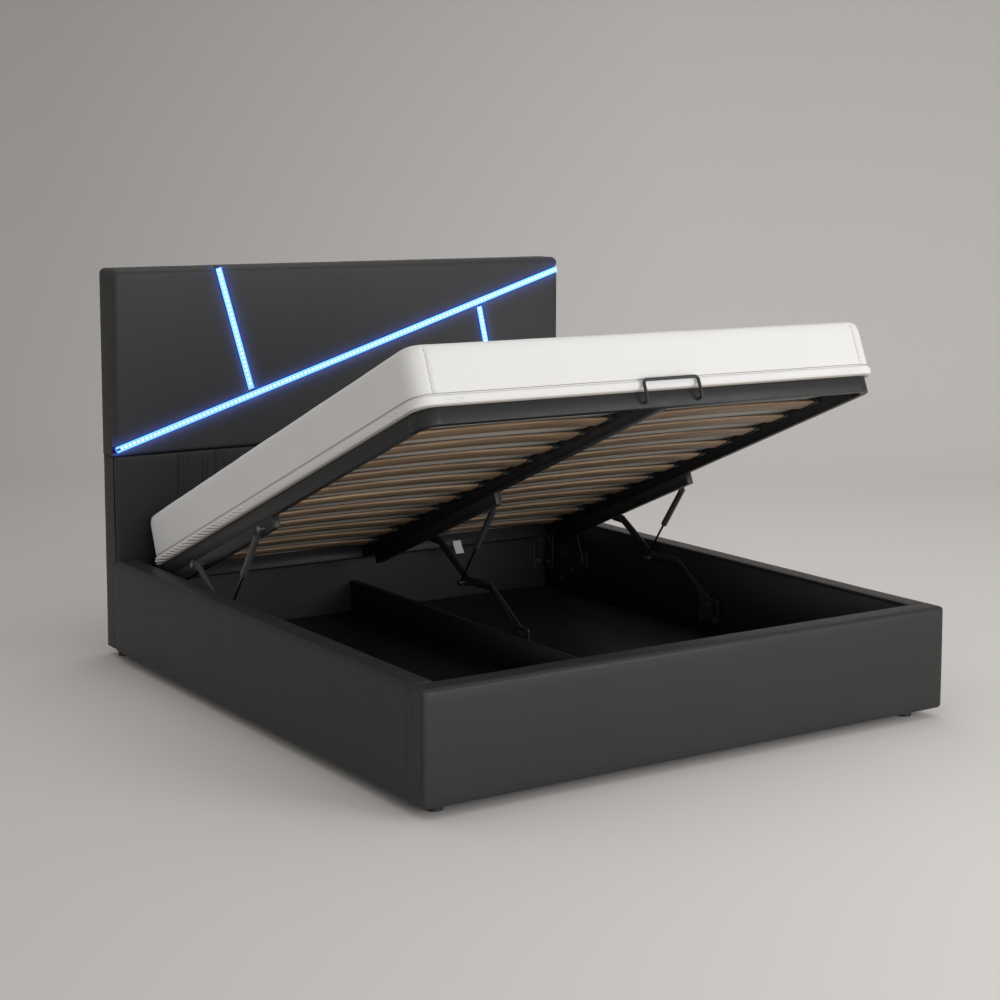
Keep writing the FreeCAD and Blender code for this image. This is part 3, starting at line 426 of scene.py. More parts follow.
def woodGroup():
    # long grain, with a place and a tone of its own for each strip
    group, given, out = nodeGroup("woodGrain", {
        "Light": (0.6, 0.4, 0.24, 1), "Dark": (0.3, 0.18, 0.09, 1), "Along": (4.0, 60.0, 60.0),
        "Strip Tone": 0.2}, surfaceOutputs)
    strip = add(group, "ShaderNodeNewGeometry").outputs["Random Per Island"]
    shift = add(group, "ShaderNodeCombineXYZ")
    feed(group, times(group, strip, 7.0), shift.inputs[0])
    moved = vectorNode(group, "ADD", objectPlace(group), shift.outputs[0])
    stretched = vectorNode(group, "MULTIPLY", moved, given["Along"])
    bands = noiseNode(group, stretched, 1.0, 5, 0.62)
    pores = noiseNode(group, stretched, 9.0, 2, 0.5)
    grain = plus(group, times(group, bands, 0.8), times(group, pores, 0.2))
    colour = mixColour(group, remap(group, grain, 0.32, 0.68), given["Light"], given["Dark"])
    feed(group, toned(group, colour, swing(group, strip, given["Strip Tone"])), out["Color"])
    feed(group, remap(group, grain, 0.3, 0.7, 0.5, 0.66), out["Roughness"])
    feed(group, grain, out["Height"])
    return group


def weaveGroup():
    # over and under threads in two directions, with slubs, with painted shade in its folds
    group, given, out = nodeGroup("clothWeave", {
        "Base": (0.8, 0.8, 0.8, 1), "Thread": 600.0, "Tone": 0.05, "Fold Shade": (0.32, 0.3, 0.28, 1)},
        surfaceOutputs)
    place = objectPlace(group)
    axes = splitAxes(group, place)
    waves = []
    for first, second in ((0, 1), (1, 2)):
        along = times(group, plus(group, axes[first], axes[second]), given["Thread"])
        waves.append(mathNode(group, "SINE", along))
    weave = times(group, waves[0], waves[1])
    slub = noiseNode(group, place, 35, 4, 0.6)
    cloud = noiseNode(group, place, 3, 2)
    feed(group, plus(group, times(group, weave, 0.25), slub), out["Height"])
    tone = swing(group, plus(group, times(group, weave, 0.15), cloud), given["Tone"])
    colour = toned(group, given["Base"], tone)
    feed(group, paintedHollowShade(group, colour, given["Fold Shade"], 0.44, 0.49), out["Color"])
    feed(group, remap(group, slub, 0.3, 0.7, 0.78, 0.92), out["Roughness"])
    return group


def paintedLineGlowGroup():
    # painted glow: emission standing in for the light that a lit strip between two points spills on what is
    # close to it
    group, given, out = nodeGroup("paintedLineGlow", {
        "Start": (0.0, 0.0, 0.0), "End": (1.0, 0.0, 0.0), "Reach": 0.02}, {"Glow": "NodeSocketFloat"})
    along = vectorNode(group, "SUBTRACT", given["End"], given["Start"])
    offset = vectorNode(group, "SUBTRACT", objectPlace(group), given["Start"])
    share = mathNode(group, "DIVIDE", vectorNode(group, "DOT_PRODUCT", offset, along, "Value"),
                     vectorNode(group, "DOT_PRODUCT", along, along, "Value"))
    share.node.use_clamp = True
    distance = vectorNode(group, "DISTANCE", offset, vectorNode(group, "SCALE", along, share), "Value")
    fall = mathNode(group, "DIVIDE", distance, given["Reach"])
    feed(group, mathNode(group, "EXPONENT", times(group, fall, -1.0)), out["Glow"])
    return group


groups = {"leather": leatherGroup(), "paint": paintGroup(), "wood": woodGroup(), "weave": weaveGroup(),
          "paintedLineGlow": paintedLineGlowGroup()}

# Materials


def finish(name, group, inputs, sockets=None, bump=0.1, bumpSize=0.001, metallic=0.0):
    # a material whose colour, roughness and bump come from one of the groups
    material, tree, shader = newMaterial(name)
    effect = add(tree, "ShaderNodeGroup", node_tree=groups[group])
    for key, value in inputs.items():
        effect.inputs[key].default_value = value
    relief = add(tree, "ShaderNodeBump")
    relief.inputs["Strength"].default_value = bump
    relief.inputs["Distance"].default_value = bumpSize
    feed(tree, effect.outputs["Height"], relief.inputs["Height"])
    feed(tree, effect.outputs["Color"], shader.inputs["Base Color"])
    feed(tree, effect.outputs["Roughness"], shader.inputs["Roughness"])
    feed(tree, relief.outputs["Normal"], shader.inputs["Normal"])
    shader.inputs["Metallic"].default_value = metallic
    for key, value in (sockets or {}).items():
        shader.inputs[key].default_value = value
    return material


def glowing(name, base, glow, strength, spotScale):
    # lit plastic, a little uneven so that it reads as separate lamps
    material, tree, shader = newMaterial(name)
    patch = noiseNode(tree, objectPlace(tree), spotScale, 1)
    dim = tuple(c * 0.75 for c in glow[:3]) + (1,)
    feed(tree, mixColour(tree, patch, glow, dim), shader.inputs["Emission Color"])
    feed(tree, mixColour(tree, patch, base, dim), shader.inputs["Base Color"])
    shader.inputs["Emission Strength"].default_value = strength
    shader.inputs["Roughness"].default_value = 0.35
    return material


# painted glow on the pads near the light strips: its reach, colour and strength
paintedGlowValues = {"reach": 0.013, "colour": (0.07, 0.15, 0.7, 1), "strength": 1.0}


def stripEnds():
    # the two ends of each light strip's middle line
    ends = []
    for group in islands(nodes["led_strips"].data):
        places = np.array([tuple(p) for p in group])
        middle = places.mean(0)
        axis = np.linalg.svd(places - middle)[2][0]
        reach = (places - middle) @ axis
        ends.append((Vector(middle + axis * reach.min()), Vector(middle + axis * reach.max())))
    return ends


# paints the strips' spilt light on a material as a blue emission near each strip, a painted glow
def paintStripGlow(material):
    tree = material.node_tree
    shader = tree.nodes["Principled BSDF"]
    total = None
    for start, end in stripEnds():
        line = add(tree, "ShaderNodeGroup", node_tree=groups["paintedLineGlow"])
        line.inputs["Start"].default_value = start
        line.inputs["End"].default_value = end
        line.inputs["Reach"].default_value = paintedGlowValues["reach"]
        glow = line.outputs["Glow"]
        total = glow if total is None else plus(tree, total, glow)
    lit = mixColour(tree, total, (0, 0, 0, 1), paintedGlowValues["colour"])
    feed(tree, lit, shader.inputs["Emission Color"])
    shader.inputs["Emission Strength"].default_value = paintedGlowValues["strength"]
    return material


leatherInputs = {"Base": (0.0285, 0.0289, 0.0288, 1), "Grain Scale": 620.0, "Tone": 0.16, "Gloss": 0.43}
# the pads' leatherette is painted lighter than the other leatherette, as painted light; it also takes the
# painted glow of the strips
lighterPaintedPadInputs = dict(leatherInputs, Base=(0.04, 0.041, 0.0435, 1))
leatherSockets = {"Specular IOR Level": 0.24}
finishes = {
    "paintedLightPadLeatherette": paintStripGlow(finish("paintedLightPadLeatherette", "leather", lighterPaintedPadInputs, leatherSockets,
                                         bump=0.22, bumpSize=0.0006)),
    "leatherette": finish("darkLeatherette", "leather", leatherInputs, leatherSockets,
                          bump=0.22, bumpSize=0.0006),
    "board": finish("blackBoard", "paint", {
        "Base": (0.006, 0.006, 0.0062, 1), "Worn": (0.026, 0.027, 0.026, 1), "Peel Scale": 260.0,
        "Wear": 0.3, "Gloss": 0.55}, bump=0.12, bumpSize=0.0005),
    "timber": finish("planedSoftwood", "wood", {
        "Light": (0.66, 0.5, 0.32, 1), "Dark": (0.42, 0.27, 0.14, 1), "Along": (30.0, 30.0, 3.0)},
        bump=0.2, bumpSize=0.0006),
    "slat": finish("slatBirch", "wood", {
        "Light": (0.40, 0.275, 0.17, 1), "Dark": (0.17, 0.105, 0.06, 1), "Along": (3.0, 90.0, 90.0),
        "Strip Tone": 0.35}, {"Coat Weight": 0.12, "Coat Roughness": 0.4}, bump=0.15, bumpSize=0.0004),
    "framePaint": finish("framePaint", "paint", {
        "Base": (0.019, 0.019, 0.0195, 1), "Worn": (0.08, 0.08, 0.08, 1), "Peel Scale": 800.0,
        "Wear": 0.4, "Gloss": 0.45}, {"Specular IOR Level": 0.3}, bump=0.1, bumpSize=0.0003),
    "gearPaint": finish("gearPaint", "paint", {
        "Base": (0.018, 0.018, 0.019, 1), "Worn": (0.16, 0.16, 0.165, 1), "Peel Scale": 900.0,
        "Wear": 0.8, "Gloss": 0.4}, bump=0.1, bumpSize=0.0003),
    "strutPaint": finish("strutPaint", "paint", {
        "Base": (0.05, 0.051, 0.054, 1), "Worn": (0.16, 0.16, 0.17, 1), "Peel Scale": 1500.0,
        "Wear": 0.5, "Gloss": 0.3}, bump=0.05, bumpSize=0.0002, metallic=0.3),
    "rod": finish("polishedRod", "paint", {
        "Base": (0.22, 0.22, 0.23, 1), "Worn": (0.4, 0.4, 0.42, 1), "Peel Scale": 2500.0,
        "Wear": 0.3, "Gloss": 0.22}, bump=0.03, bumpSize=0.0001, metallic=1.0),
    "zinc": finish("darkZinc", "paint", {
        "Base": (0.12, 0.12, 0.125, 1), "Worn": (0.4, 0.4, 0.4, 1), "Peel Scale": 1800.0,
        "Wear": 0.8, "Gloss": 0.35}, bump=0.06, bumpSize=0.0002, metallic=0.9),
    "plastic": finish("blackPlastic", "leather", {
        "Base": (0.02, 0.02, 0.021, 1), "Grain Scale": 1500.0, "Tone": 0.1, "Gloss": 0.5},
        bump=0.12, bumpSize=0.0002),
    # the channels are aluminium painted blue, as painted light from the strips
    "channel": finish("bluePaintedLightChannel", "paint", {
        "Base": (0.06, 0.13, 0.5, 1), "Worn": (0.12, 0.25, 0.7, 1), "Peel Scale": 900.0,
        "Wear": 0.3, "Gloss": 0.35}, bump=0.04, bumpSize=0.0002, metallic=0.6),
    "strip": glowing("litStrip", (0.2, 0.4, 0.9, 1), (0.13, 0.36, 1.0, 1), 2.0, 300.0),
    "bead": glowing("litBead", (0.7, 0.88, 1.0, 1), (0.75, 0.9, 1.0, 1), 1.3, 150.0),
    "lineEnd": finish("stripEndCap", "paint", {
        "Base": (0.01, 0.03, 0.25, 1), "Worn": (0.05, 0.12, 0.5, 1), "Peel Scale": 700.0,
        "Wear": 0.2, "Gloss": 0.35}, bump=0.05, bumpSize=0.0002),
    "mattress": finish("mattressCover", "weave", {
        "Base": (0.8, 0.795, 0.785, 1), "Thread": 2400.0, "Tone": 0.05},
        {"Sheen Weight": 0.15, "Sheen Roughness": 0.4}, bump=0.15, bumpSize=0.0008),
    "tag": finish("tagCloth", "weave", {
        "Base": (0.7, 0.69, 0.67, 1), "Thread": 2600.0, "Tone": 0.08}, bump=0.2, bumpSize=0.0004),
    # dark seam cord that also stands in for the hem seam's shadow line, as painted shade
    "seamShadow": finish("seamShadowCord", "weave", {
        "Base": (0.27, 0.265, 0.255, 1), "Thread": 3000.0, "Tone": 0.1}, bump=0.3, bumpSize=0.0006),
    "backCloth": finish("backCloth", "weave", {
        "Base": (0.02, 0.02, 0.021, 1), "Thread": 1500.0, "Tone": 0.25},
        {"Sheen Weight": 0.1}, bump=0.3, bumpSize=0.0005),
}
print("materials made:", len(finishes))


def wear(piece, finishName):
    piece.data.materials.clear()
    piece.data.materials.append(finishes[finishName])
    return piece


def dress(piece, finishName, body, covers=()):
    # gives a piece its material and its body, and hides the CAD nodes that it stands for
    wear(piece, finishName)
    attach(piece, body)
    if covers:
        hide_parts(*covers)
    return piece


def upholstered(piece, body, covers, finishName="leatherette"):
    dress(piece, finishName, body, covers)
    return piece


# Camera at the photograph's viewing angle

cameraValues = {"place": (-3.5406, -5.4823, 1.6951), "yaw": 32.947, "down": 6.46, "lens": 71.63,
                "sensor": 36, "shiftY": -0.1, "reach": 100}


def makeCamera(values):
    camera = bpy.data.cameras.new("photoCamera")
    camera.lens = values["lens"]
    camera.sensor_width = values["sensor"]
    camera.shift_y = values["shiftY"]
    camera.clip_end = values["reach"]
    holder = linked("photoCamera", camera)
    holder.location = values["place"]
    holder.rotation_euler = (math.radians(90 - values["down"]), 0, math.radians(-values["yaw"]))
    bpy.context.scene.camera = holder


makeCamera(cameraValues)

# Side rails and foot panel

railValues = {"step": 0.03, "endRound": 0.0025, "lowRound": 0.012, "topRound": 0.018, "lipRound": 0.005,
              "boardRound": 0.002, "ledgeRound": 0.001, "uneven": 0.0012, "unevenSize": 0.22,
              "crown": 0.0015, "stillFrom": 0.002, "stillTo": 0.02}


def makeRail(side, sign):
    values = railValues
    low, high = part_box(side + "_rail_cover")
    boardLow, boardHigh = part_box(side + "_rail_board")
    outer = max(abs(low.x), abs(high.x))
    wall = min(abs(boardLow.x), abs(boardHigh.x))
    boardFace = max(abs(boardLow.x), abs(boardHigh.x))
    corners = [(boardFace, low.z, values["boardRound"]), (outer, low.z, values["lowRound"]),
               (outer, high.z, values["topRound"]), (wall, high.z, values["lipRound"]),
               (wall, boardHigh.z, values["ledgeRound"]), (boardFace, boardHigh.z, values["boardRound"])]
    loop = roundedLoop(corners, values["step"])
    stations = endStations(low.y, high.y, values["endRound"], values["step"])
    rail = sweptPad(side + "RailUpholstery", loop, stations, lambda u, v, s: (sign * u, s, v))

    def give(place, normal):
        outside = facing(normal.x * sign)
        beyondWall = abs(place.x) - wall
        top = facing(normal.z) * smoothStep(values["stillFrom"], values["stillTo"], beyondWall)
        return (values["crown"] * (crownShare(place.z, low.z, high.z) - 1) * outside
                - values["uneven"] * (outside + top) * 0.5
                + softUneven(place, values["uneven"], values["unevenSize"], sign) * (outside + top))

    shapeSurface(rail, give)
    return upholstered(rail, "root", [side + "_rail_cover"])


# openRoom, wrappedRoom: how far inside the board's ends the last open and the first wrapped section are
footValues = {"step": 0.03, "endRound": 0.013, "endSteps": 6, "backShare": 0.9, "lowRound": 0.012,
              "topRound": 0.015, "lipRound": 0.005, "boardRound": 0.002, "ledgeRound": 0.001,
              "openRoom": 0.0015, "wrappedRoom": 0.001, "markRoom": 0.002, "hemRoom": 0.0025,
              "ledgeRoom": 0.0015, "faceRoom": 0.0005, "hemRise": 0.001, "lipDrop": 0.004,
              "uneven": 0.0014, "unevenSize": 0.25, "crown": 0.002, "capFlat": 0.98}


def makeFootPanel():
    values = footValues
    low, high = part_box("foot_cover")
    boardLow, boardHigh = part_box("foot_board")
    corners = [(low.y, low.z, values["lowRound"]), (boardLow.y, low.z, values["boardRound"]),
               (boardLow.y, boardHigh.z, values["boardRound"]), (high.y, boardHigh.z, values["ledgeRound"]),
               (high.y, high.z, values["lipRound"]), (low.y, high.z, values["topRound"])]
    loop = roundedLoop(corners, values["step"])
    ends = endStations(low.x, high.x, values["endRound"], values["step"], values["endSteps"])
    marks = [sign * (boardHigh.x - room) for sign in (-1, 1)
             for room in (values["openRoom"], values["wrappedRoom"])]
    clear = [s for s in ends if all(abs(s[0] - m) > values["markRoom"] for m in marks)]
    stations = sorted(clear + [(m, 0.0) for m in marks])
    wrappedFrom = boardHigh.x - (values["openRoom"] + values["wrappedRoom"]) / 2

    def wrapped(point, normal, s):
        # beyond the board's ends the cover is as deep as the board
        nearBoard = boardLow.y - values["hemRoom"] <= point.x and point.y <= boardHigh.z + values["ledgeRoom"]
        if abs(s) < wrappedFrom or not nearBoard:
            return point, normal
        if point.y < low.z + values["hemRoom"] and point.x < boardLow.y - values["faceRoom"]:
            return Vector((high.y, low.z)), Vector((1, -1))
        share = min(max((point.x - boardLow.y) / (high.y - boardLow.y), 0), 1)
        level = max(point.y, low.z + values["hemRise"]) + values["lipDrop"] * share
        return Vector((high.y, level)), Vector((1, 0))

    panel = sweptPad("footUpholstery", loop, stations, lambda u, v, s: (s, u, v),
                     lambda normal: 1 - values["backShare"] * smoothStep(0.2, 0.8, normal.x), wrapped)

    def give(place, normal):
        front, top = facing(-normal.y), facing(normal.z)
        return (values["crown"] * (crownShare(place.z, low.z, high.z) - 1) * front
                - values["uneven"] * (front + top) * 0.5
                + softUneven(place, values["uneven"], values["unevenSize"], 5.0) * (front + top))

    shapeSurface(panel, give)
    for face in panel.data.polygons:
        if abs(face.normal.x) > values["capFlat"]:
            face.use_smooth = False
    return upholstered(panel, "root", ["foot_cover"])


for side, sign in (("left", -1), ("right", 1)):
    makeRail(side, sign)
makeFootPanel()
print("rails and foot panel made")

# Headboard: border, base panel, four pads and the cloth at the back

headValues = {"step": 0.03, "cornerRound": 0.022, "skinRound": 0.004, "skinBackRound": 0.002,
              "seamRound": 0.001, "lowerInset": 0.002, "seamGap": 0.0006, "outerRoll": 0.024,
              "grooveRoll": 0.009, "seamRoll": 0.015, "rollShares": (0.03, 0.1, 0.2, 0.33, 0.5, 0.7, 1.0),
              "crown": 0.0025, "crownReach": 0.09, "uneven": 0.0007, "unevenSize": 0.16, "cell": 0.02,
              "sideReach": 0.002, "arcCuts": 8}


def seamLevel():
    # middle of the gap between the lower pads and the base panel
    return (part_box("headboard_panel_low_left")[0].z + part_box("headboard_base_panel")[1].z) / 2


def headUneven(place, seed):
    return softUneven(place, headValues["uneven"], headValues["unevenSize"], seed)


def makeBorder():
    values = headValues
    low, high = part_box("headboard_border")
    seam = seamLevel() + values["seamGap"] / 2
    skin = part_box("headboard_front_board")[0].x - low.x
    section = roundedLoop([(0, low.y, values["seamRound"]), (0, high.y, values["skinRound"]),
                           (-skin, high.y, values["skinBackRound"]), (-skin, low.y, values["seamRound"])],
                          values["step"], 3)

    def strip(name, path):
        # path: (point, outward normal) in X and Z
        verts = []
        for point, outward in path:
            for (offset, depth), _ in section:
                at = point + outward * offset
                verts.append((at.x, depth, at.y))
        count, size = len(path), len(section)
        return newObject(name, verts, sectionFaces(count, size) + capFaces(count, size))

    around = roundedLoop([(high.x, seam, 0), (high.x, high.z, values["cornerRound"]),
                          (low.x, high.z, values["cornerRound"]), (low.x, seam, 0)], values["step"], 7)
    sideLeft, sideRight = Vector((-1, 0)), Vector((1, 0))
    upper = ([(Vector((high.x, seam)), sideRight)]
             + [(p, n.normalized()) for p, n in around if p.y > seam + values["seamRound"]]
             + [(Vector((low.x, seam)), sideLeft)])
    strips = [strip("borderTop", upper)]
    inset = values["lowerInset"]
    for x, outward in ((low.x + inset, sideLeft), (high.x - inset, sideRight)):
        levels = spread(low.z, seam - values["seamGap"], values["step"])
        strips.append(strip("borderSide", [(Vector((x, z)), outward) for z in levels]))
    border = joinPieces("headboardBorderUpholstery", strips)

    def give(place, normal):
        return (headUneven(place, 2.0) - values["uneven"]) * max(facing(abs(normal.x)), facing(normal.z))

    shapeSurface(border, give)
    return upholstered(border, "root", ["headboard_border"])


basePanelValues = {"edgeRound": 0.009, "backRound": 0.002, "lowRound": 0.004, "rise": 0.02, "step": 0.03,
                   "creaseFrom": -0.74, "creaseTo": -0.49, "creaseStep": 0.0035, "creasePitch": 0.017,
                   "creaseDepth": 0.022, "creaseFall": 0.3, "fullBelow": 0.03,
                   "fadeIn": 0.05, "fadeOut": 0.06}


def makeBasePanel():
    values = basePanelValues
    low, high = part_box("headboard_base_panel")
    edge = values["edgeRound"]
    top = seamLevel() - headValues["seamGap"] / 2
    loop = roundedLoop([(low.y, low.z, values["lowRound"]), (high.y, low.z, values["backRound"]),
                        (high.y, top, values["backRound"]), (low.y, top, edge)], values["rise"])
    start, end = low.x + headValues["lowerInset"], high.x - headValues["lowerInset"]
    ends = endStations(start, end, edge, values["step"])
    dense = [(x, 0.0) for x in spread(values["creaseFrom"], values["creaseTo"], values["creaseStep"])]
    stations = ([s for s in ends if s[0] < dense[0][0]] + dense + [s for s in ends if s[0] > dense[-1][0]])
    panel = sweptPad("headboardBaseUpholstery", loop, stations, lambda u, v, s: (s, u, v))

    def give(place, normal):
        front = smoothStep(0.5, 0.95, -normal.y)
        inside = (smoothStep(values["creaseFrom"], values["creaseFrom"] + values["fadeIn"], place.x)
                  * (1 - smoothStep(values["creaseTo"] - values["fadeOut"], values["creaseTo"], place.x)))
        down = smoothStep(high.z - values["creaseFall"], high.z - values["fullBelow"], place.z)
        bend = 2.7 * noise.noise(Vector((place.x * 9, place.z * 5, 3.0)))
        wave = math.cos(2 * math.pi * place.x / values["creasePitch"] + bend)
        crease = max(0.0, wave) ** 3 * noise.noise(Vector((place.x * 40, place.z * 4, 8.0)))
        return (-values["creaseDepth"] * abs(crease) * inside * down * front
                + (headUneven(place, 4.0) - headValues["uneven"]) * front)

    shapeSurface(panel, give)
    return upholstered(panel, "root", ["headboard_base_panel"])


def padCorners(node):
    # the CAD pad's widest outline, anticlockwise in X and Z
    points = meshPoints(node)
    back = max(p.y for p in points)
    front = min(p.y for p in points)
    level = back - 0.4 * (back - front)
    ring = {(round(p.x, 4), round(p.z, 4)) for p in points if abs(p.y - level) < 0.0005}
    middle = Vector((sum(x for x, z in ring) / len(ring), sum(z for x, z in ring) / len(ring)))
    ordered = sorted(ring, key=lambda p: math.atan2(p[1] - middle.y, p[0] - middle.x))
    kept = []
    for i, (x, z) in enumerate(ordered):
        before = Vector(ordered[i - 1]) - Vector((x, z))
        after = Vector(ordered[(i + 1) % len(ordered)]) - Vector((x, z))
        if abs(before.normalized().cross(after.normalized())) > 0.02:
            kept.append(Vector((x, z)))
    return kept, front, back


def gridPlate(xs, zs, depth):
    # a flat plate of quads at one depth
    work = bmesh.new()
    rows = [[work.verts.new((x, depth, z)) for x in xs] for z in zs]
    for j in range(len(zs) - 1):
        for i in range(len(xs) - 1):
            work.faces.new((rows[j][i], rows[j][i + 1], rows[j + 1][i + 1], rows[j + 1][i]))
    return work


def makePad(node, name, seed):
    # a plate cut to the pad's outline, with cuts beside each side so that the roll has enough faces
    values = headValues
    corners, front, back = padCorners(node)
    low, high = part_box("headboard_border")
    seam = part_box("headboard_panel_low_left")[0].z
    seamReach = seam - seamLevel() - values["seamGap"] / 2
    sides = []
    for i, corner in enumerate(corners):
        after = corners[(i + 1) % len(corners)]
        along = (after - corner).normalized()
        inward = Vector((-along.y, along.x))
        middle = (corner + after) / 2
        reach = values["sideReach"]
        if min(abs(middle.x - low.x), abs(middle.x - high.x), abs(middle.y - high.z)) < reach:
            sides.append((corner, inward, values["outerRoll"]))
        elif abs(middle.y - seam) < reach:
            sides.append((corner - inward * seamReach, inward, values["seamRoll"]))
        else:
            sides.append((corner, inward, values["grooveRoll"]))
    radius = values["outerRoll"]
    arcs = [(i, corners[i] + (sides[i - 1][1] + sides[i][1]) * radius) for i in range(len(corners))
            if sides[i - 1][2] == sides[i][2] == radius]
    lowCorner = Vector((min(c.x for c in corners), min(c.y for c in corners) - seamReach))
    highCorner = Vector((max(c.x for c in corners), max(c.y for c in corners)))
    work = gridPlate(spread(lowCorner.x, highCorner.x, values["cell"]),
                     spread(lowCorner.y, highCorner.y, values["cell"]), 0)

    def cut(at, outward, clear):
        bmesh.ops.bisect_plane(work, geom=work.verts[:] + work.edges[:] + work.faces[:], dist=1e-6,
                               plane_co=(at.x, 0, at.y), plane_no=(outward.x, 0, outward.y),
                               clear_outer=clear)

    for start, inward, roll in sides:
        cut(start, -inward, True)
    for i, centre in arcs:
        for k in range(1, values["arcCuts"]):
            outward = (-sides[i - 1][1]).slerp(-sides[i][1], k / values["arcCuts"])
            cut(centre + outward * radius, outward, True)
    for start, inward, roll in sides:
        for share in values["rollShares"]:
            cut(start + inward * (roll * share), -inward, False)

    def surface(at):
        depths = [max(0.0, (at - start).dot(inward)) for start, inward, roll in sides]
        rolls = [roll for start, inward, roll in sides]
        for i, centre in arcs:
            if depths[i - 1] < radius and depths[i] < radius:
                depths[i - 1] = depths[i] = max(0.0, radius - (at - centre).length)
                rolls[i - 1] = 0
        rise = 1.0
        for depth, roll in zip(depths, rolls):
            if roll:
                rise *= math.sqrt(max(0.0, 1 - (1 - min(depth / roll, 1)) ** 2))
        crown = values["crown"] * math.exp(-min(depths) / values["crownReach"])
        bulge = headUneven(Vector((at.x, seed, at.y)), seed)
        return front + (back - front) * (1 - rise) + (crown - bulge + values["uneven"]) * rise

    for edge in [e for e in work.edges if e.is_boundary]:
        for vert in edge.verts:
            vert.co.y = back
    for vert in work.verts:
        if vert.co.y == 0:
            vert.co.y = surface(Vector((vert.co.x, vert.co.z)))
    bmesh.ops.holes_fill(work, edges=[e for e in work.edges if e.is_boundary], sides=0)
    turnOutward(work)
    for face in work.faces:
        face.smooth = abs(face.normal.y) < 0.999 or face.calc_center_median().y < back - 0.001
    return upholstered(fromWork(name, work), "root", [node], finishName="paintedLightPadLeatherette")


backValues = {"step": 0.06, "ripple": 0.0006, "rippleSize": 0.12, "stillEdge": 0.05, "inletRoom": 0.001,
              "inletSides": 40, "cutDepth": 0.05, "tolerance": 0.001}


def makeBackCloth():
    values = backValues
    low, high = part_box("headboard_back_cover")
    inletLow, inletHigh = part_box("power_inlet")
    xs = spread(low.x, high.x, values["step"])
    zs = spread(low.z, high.z, values["step"])
    cloth = fromWork("headboardBackCloth", gridPlate(xs, zs, high.y))
    thick = cloth.modifiers.new("thick", "SOLIDIFY")
    thick.thickness = high.y - low.y
    thick.offset = 1
    applyModifiers(cloth)
    if abs(min(v.co.y for v in cloth.data.vertices) - low.y) > values["tolerance"]:
        for v in cloth.data.vertices:
            v.co.y -= high.y - low.y
    work = bmesh.new()
    radius = (inletHigh.x - inletLow.x) / 2 + values["inletRoom"]
    bmesh.ops.create_cone(work, cap_ends=True, segments=values["inletSides"], radius1=radius, radius2=radius,
                          depth=values["cutDepth"])
    through = Matrix.Translation((inletLow + inletHigh) / 2) @ Matrix.Rotation(math.pi / 2, 4, "X")
    bmesh.ops.transform(work, matrix=through, verts=work.verts)
    tool = fromWork("inletCut", work)
    hole = cloth.modifiers.new("hole", "BOOLEAN")
    hole.operation = "DIFFERENCE"
    hole.solver = "EXACT"
    hole.object = tool
    applyModifiers(cloth)
    bpy.data.objects.remove(tool)
    for v in cloth.data.vertices:
        inner = min(v.co.x - low.x, high.x - v.co.x, v.co.z - low.z, high.z - v.co.z)
        if v.co.y > low.y + values["tolerance"]:
            ripple = softUneven(v.co, values["ripple"], values["rippleSize"], 6.0) - values["ripple"]
            v.co.y += ripple * smoothStep(0, values["stillEdge"], inner)
    for face in cloth.data.polygons:
        face.use_smooth = abs(face.normal.y) > 0.7
    return dress(cloth, "backCloth", "root", ["headboard_back_cover"])


makeBorder()
makeBasePanel()
for seed, (node, name) in enumerate((("headboard_panel_top_left", "headPadTopLeft"),
                                     ("headboard_panel_top_right", "headPadTopRight"),
                                     ("headboard_panel_low_left", "headPadLowLeft"),
                                     ("headboard_panel_low_right", "headPadLowRight"))):
    makePad(node, name, 1.0 + seed)
makeBackCloth()
print("headboard upholstery made")

# Lamps on the light strips

beadValues = {"pitch": 0.0165, "width": 0.0048, "height": 0.0016, "coverWidth": 0.0225, "coverThick": 0.0016,
              "coverGap": 0.001, "firstGap": 0.02, "capLength": 0.015, "capRise": 0.0012, "capOver": 0.004,
              "edge": 0.0004}


def addBlock(work, middle, turn, size):
    # a box of the given size, turned and moved to its middle
    matrix = Matrix.Translation(middle) @ turn @ Matrix.Diagonal((*size, 1))
    bmesh.ops.create_cube(work, size=1, matrix=matrix)


def makeBeads():
    values = beadValues
    beads, caps, covers = bmesh.new(), bmesh.new(), bmesh.new()
    lowZ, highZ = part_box("led_strips")
    for start, end in stripEnds():
        low, high = (start, end) if start.z < end.z else (end, start)
        along = (high - low).normalized()
        across = Vector((-along.z, 0, along.x))
        front = Vector((0, lowZ.y - low.y, 0))
        turn = Matrix((along, across, Vector((0, -1, 0)))).transposed().to_4x4()
        length = (high - low).length
        coverSize = (length, values["coverWidth"], values["coverThick"])
        outward = Vector((0, -1, 0))
        middle = (low + high) / 2 + front + outward * (values["coverGap"] + values["coverThick"] / 2)
        addBlock(covers, middle, turn, coverSize)
        front += outward * (values["coverGap"] + values["coverThick"])
        bead = Matrix.Diagonal((values["width"], values["width"], values["height"], 1))
        for place in spread(values["firstGap"], length - values["pitch"] / 2, values["pitch"]):
            bmesh.ops.create_uvsphere(beads, u_segments=10, v_segments=6, radius=1,
                                      matrix=Matrix.Translation(low + front + along * place) @ turn @ bead)
        if abs(along.x) < 0.7:  # only the long line has an end cap
            continue
        middle = low + front + along * (values["capLength"] / 2)
        capSize = (values["capLength"], highZ.y - lowZ.y + values["capOver"], values["capRise"] * 2)
        addBlock(caps, middle, turn, capSize)
    for work in (caps, covers):
        bmesh.ops.bevel(work, geom=work.edges[:], offset=values["edge"], segments=2, affect="EDGES")
    for name, work, finishName in (("lightBeads", beads, "bead"), ("lightLineEnd", caps, "lineEnd"),
                                   ("lightDiffusers", covers, "strip")):
        piece = fromWork(name, work)
        for face in piece.data.polygons:
            face.use_smooth = name == "lightBeads"
        dress(piece, finishName, "root")


makeBeads()
print("light beads made")

# Mattress


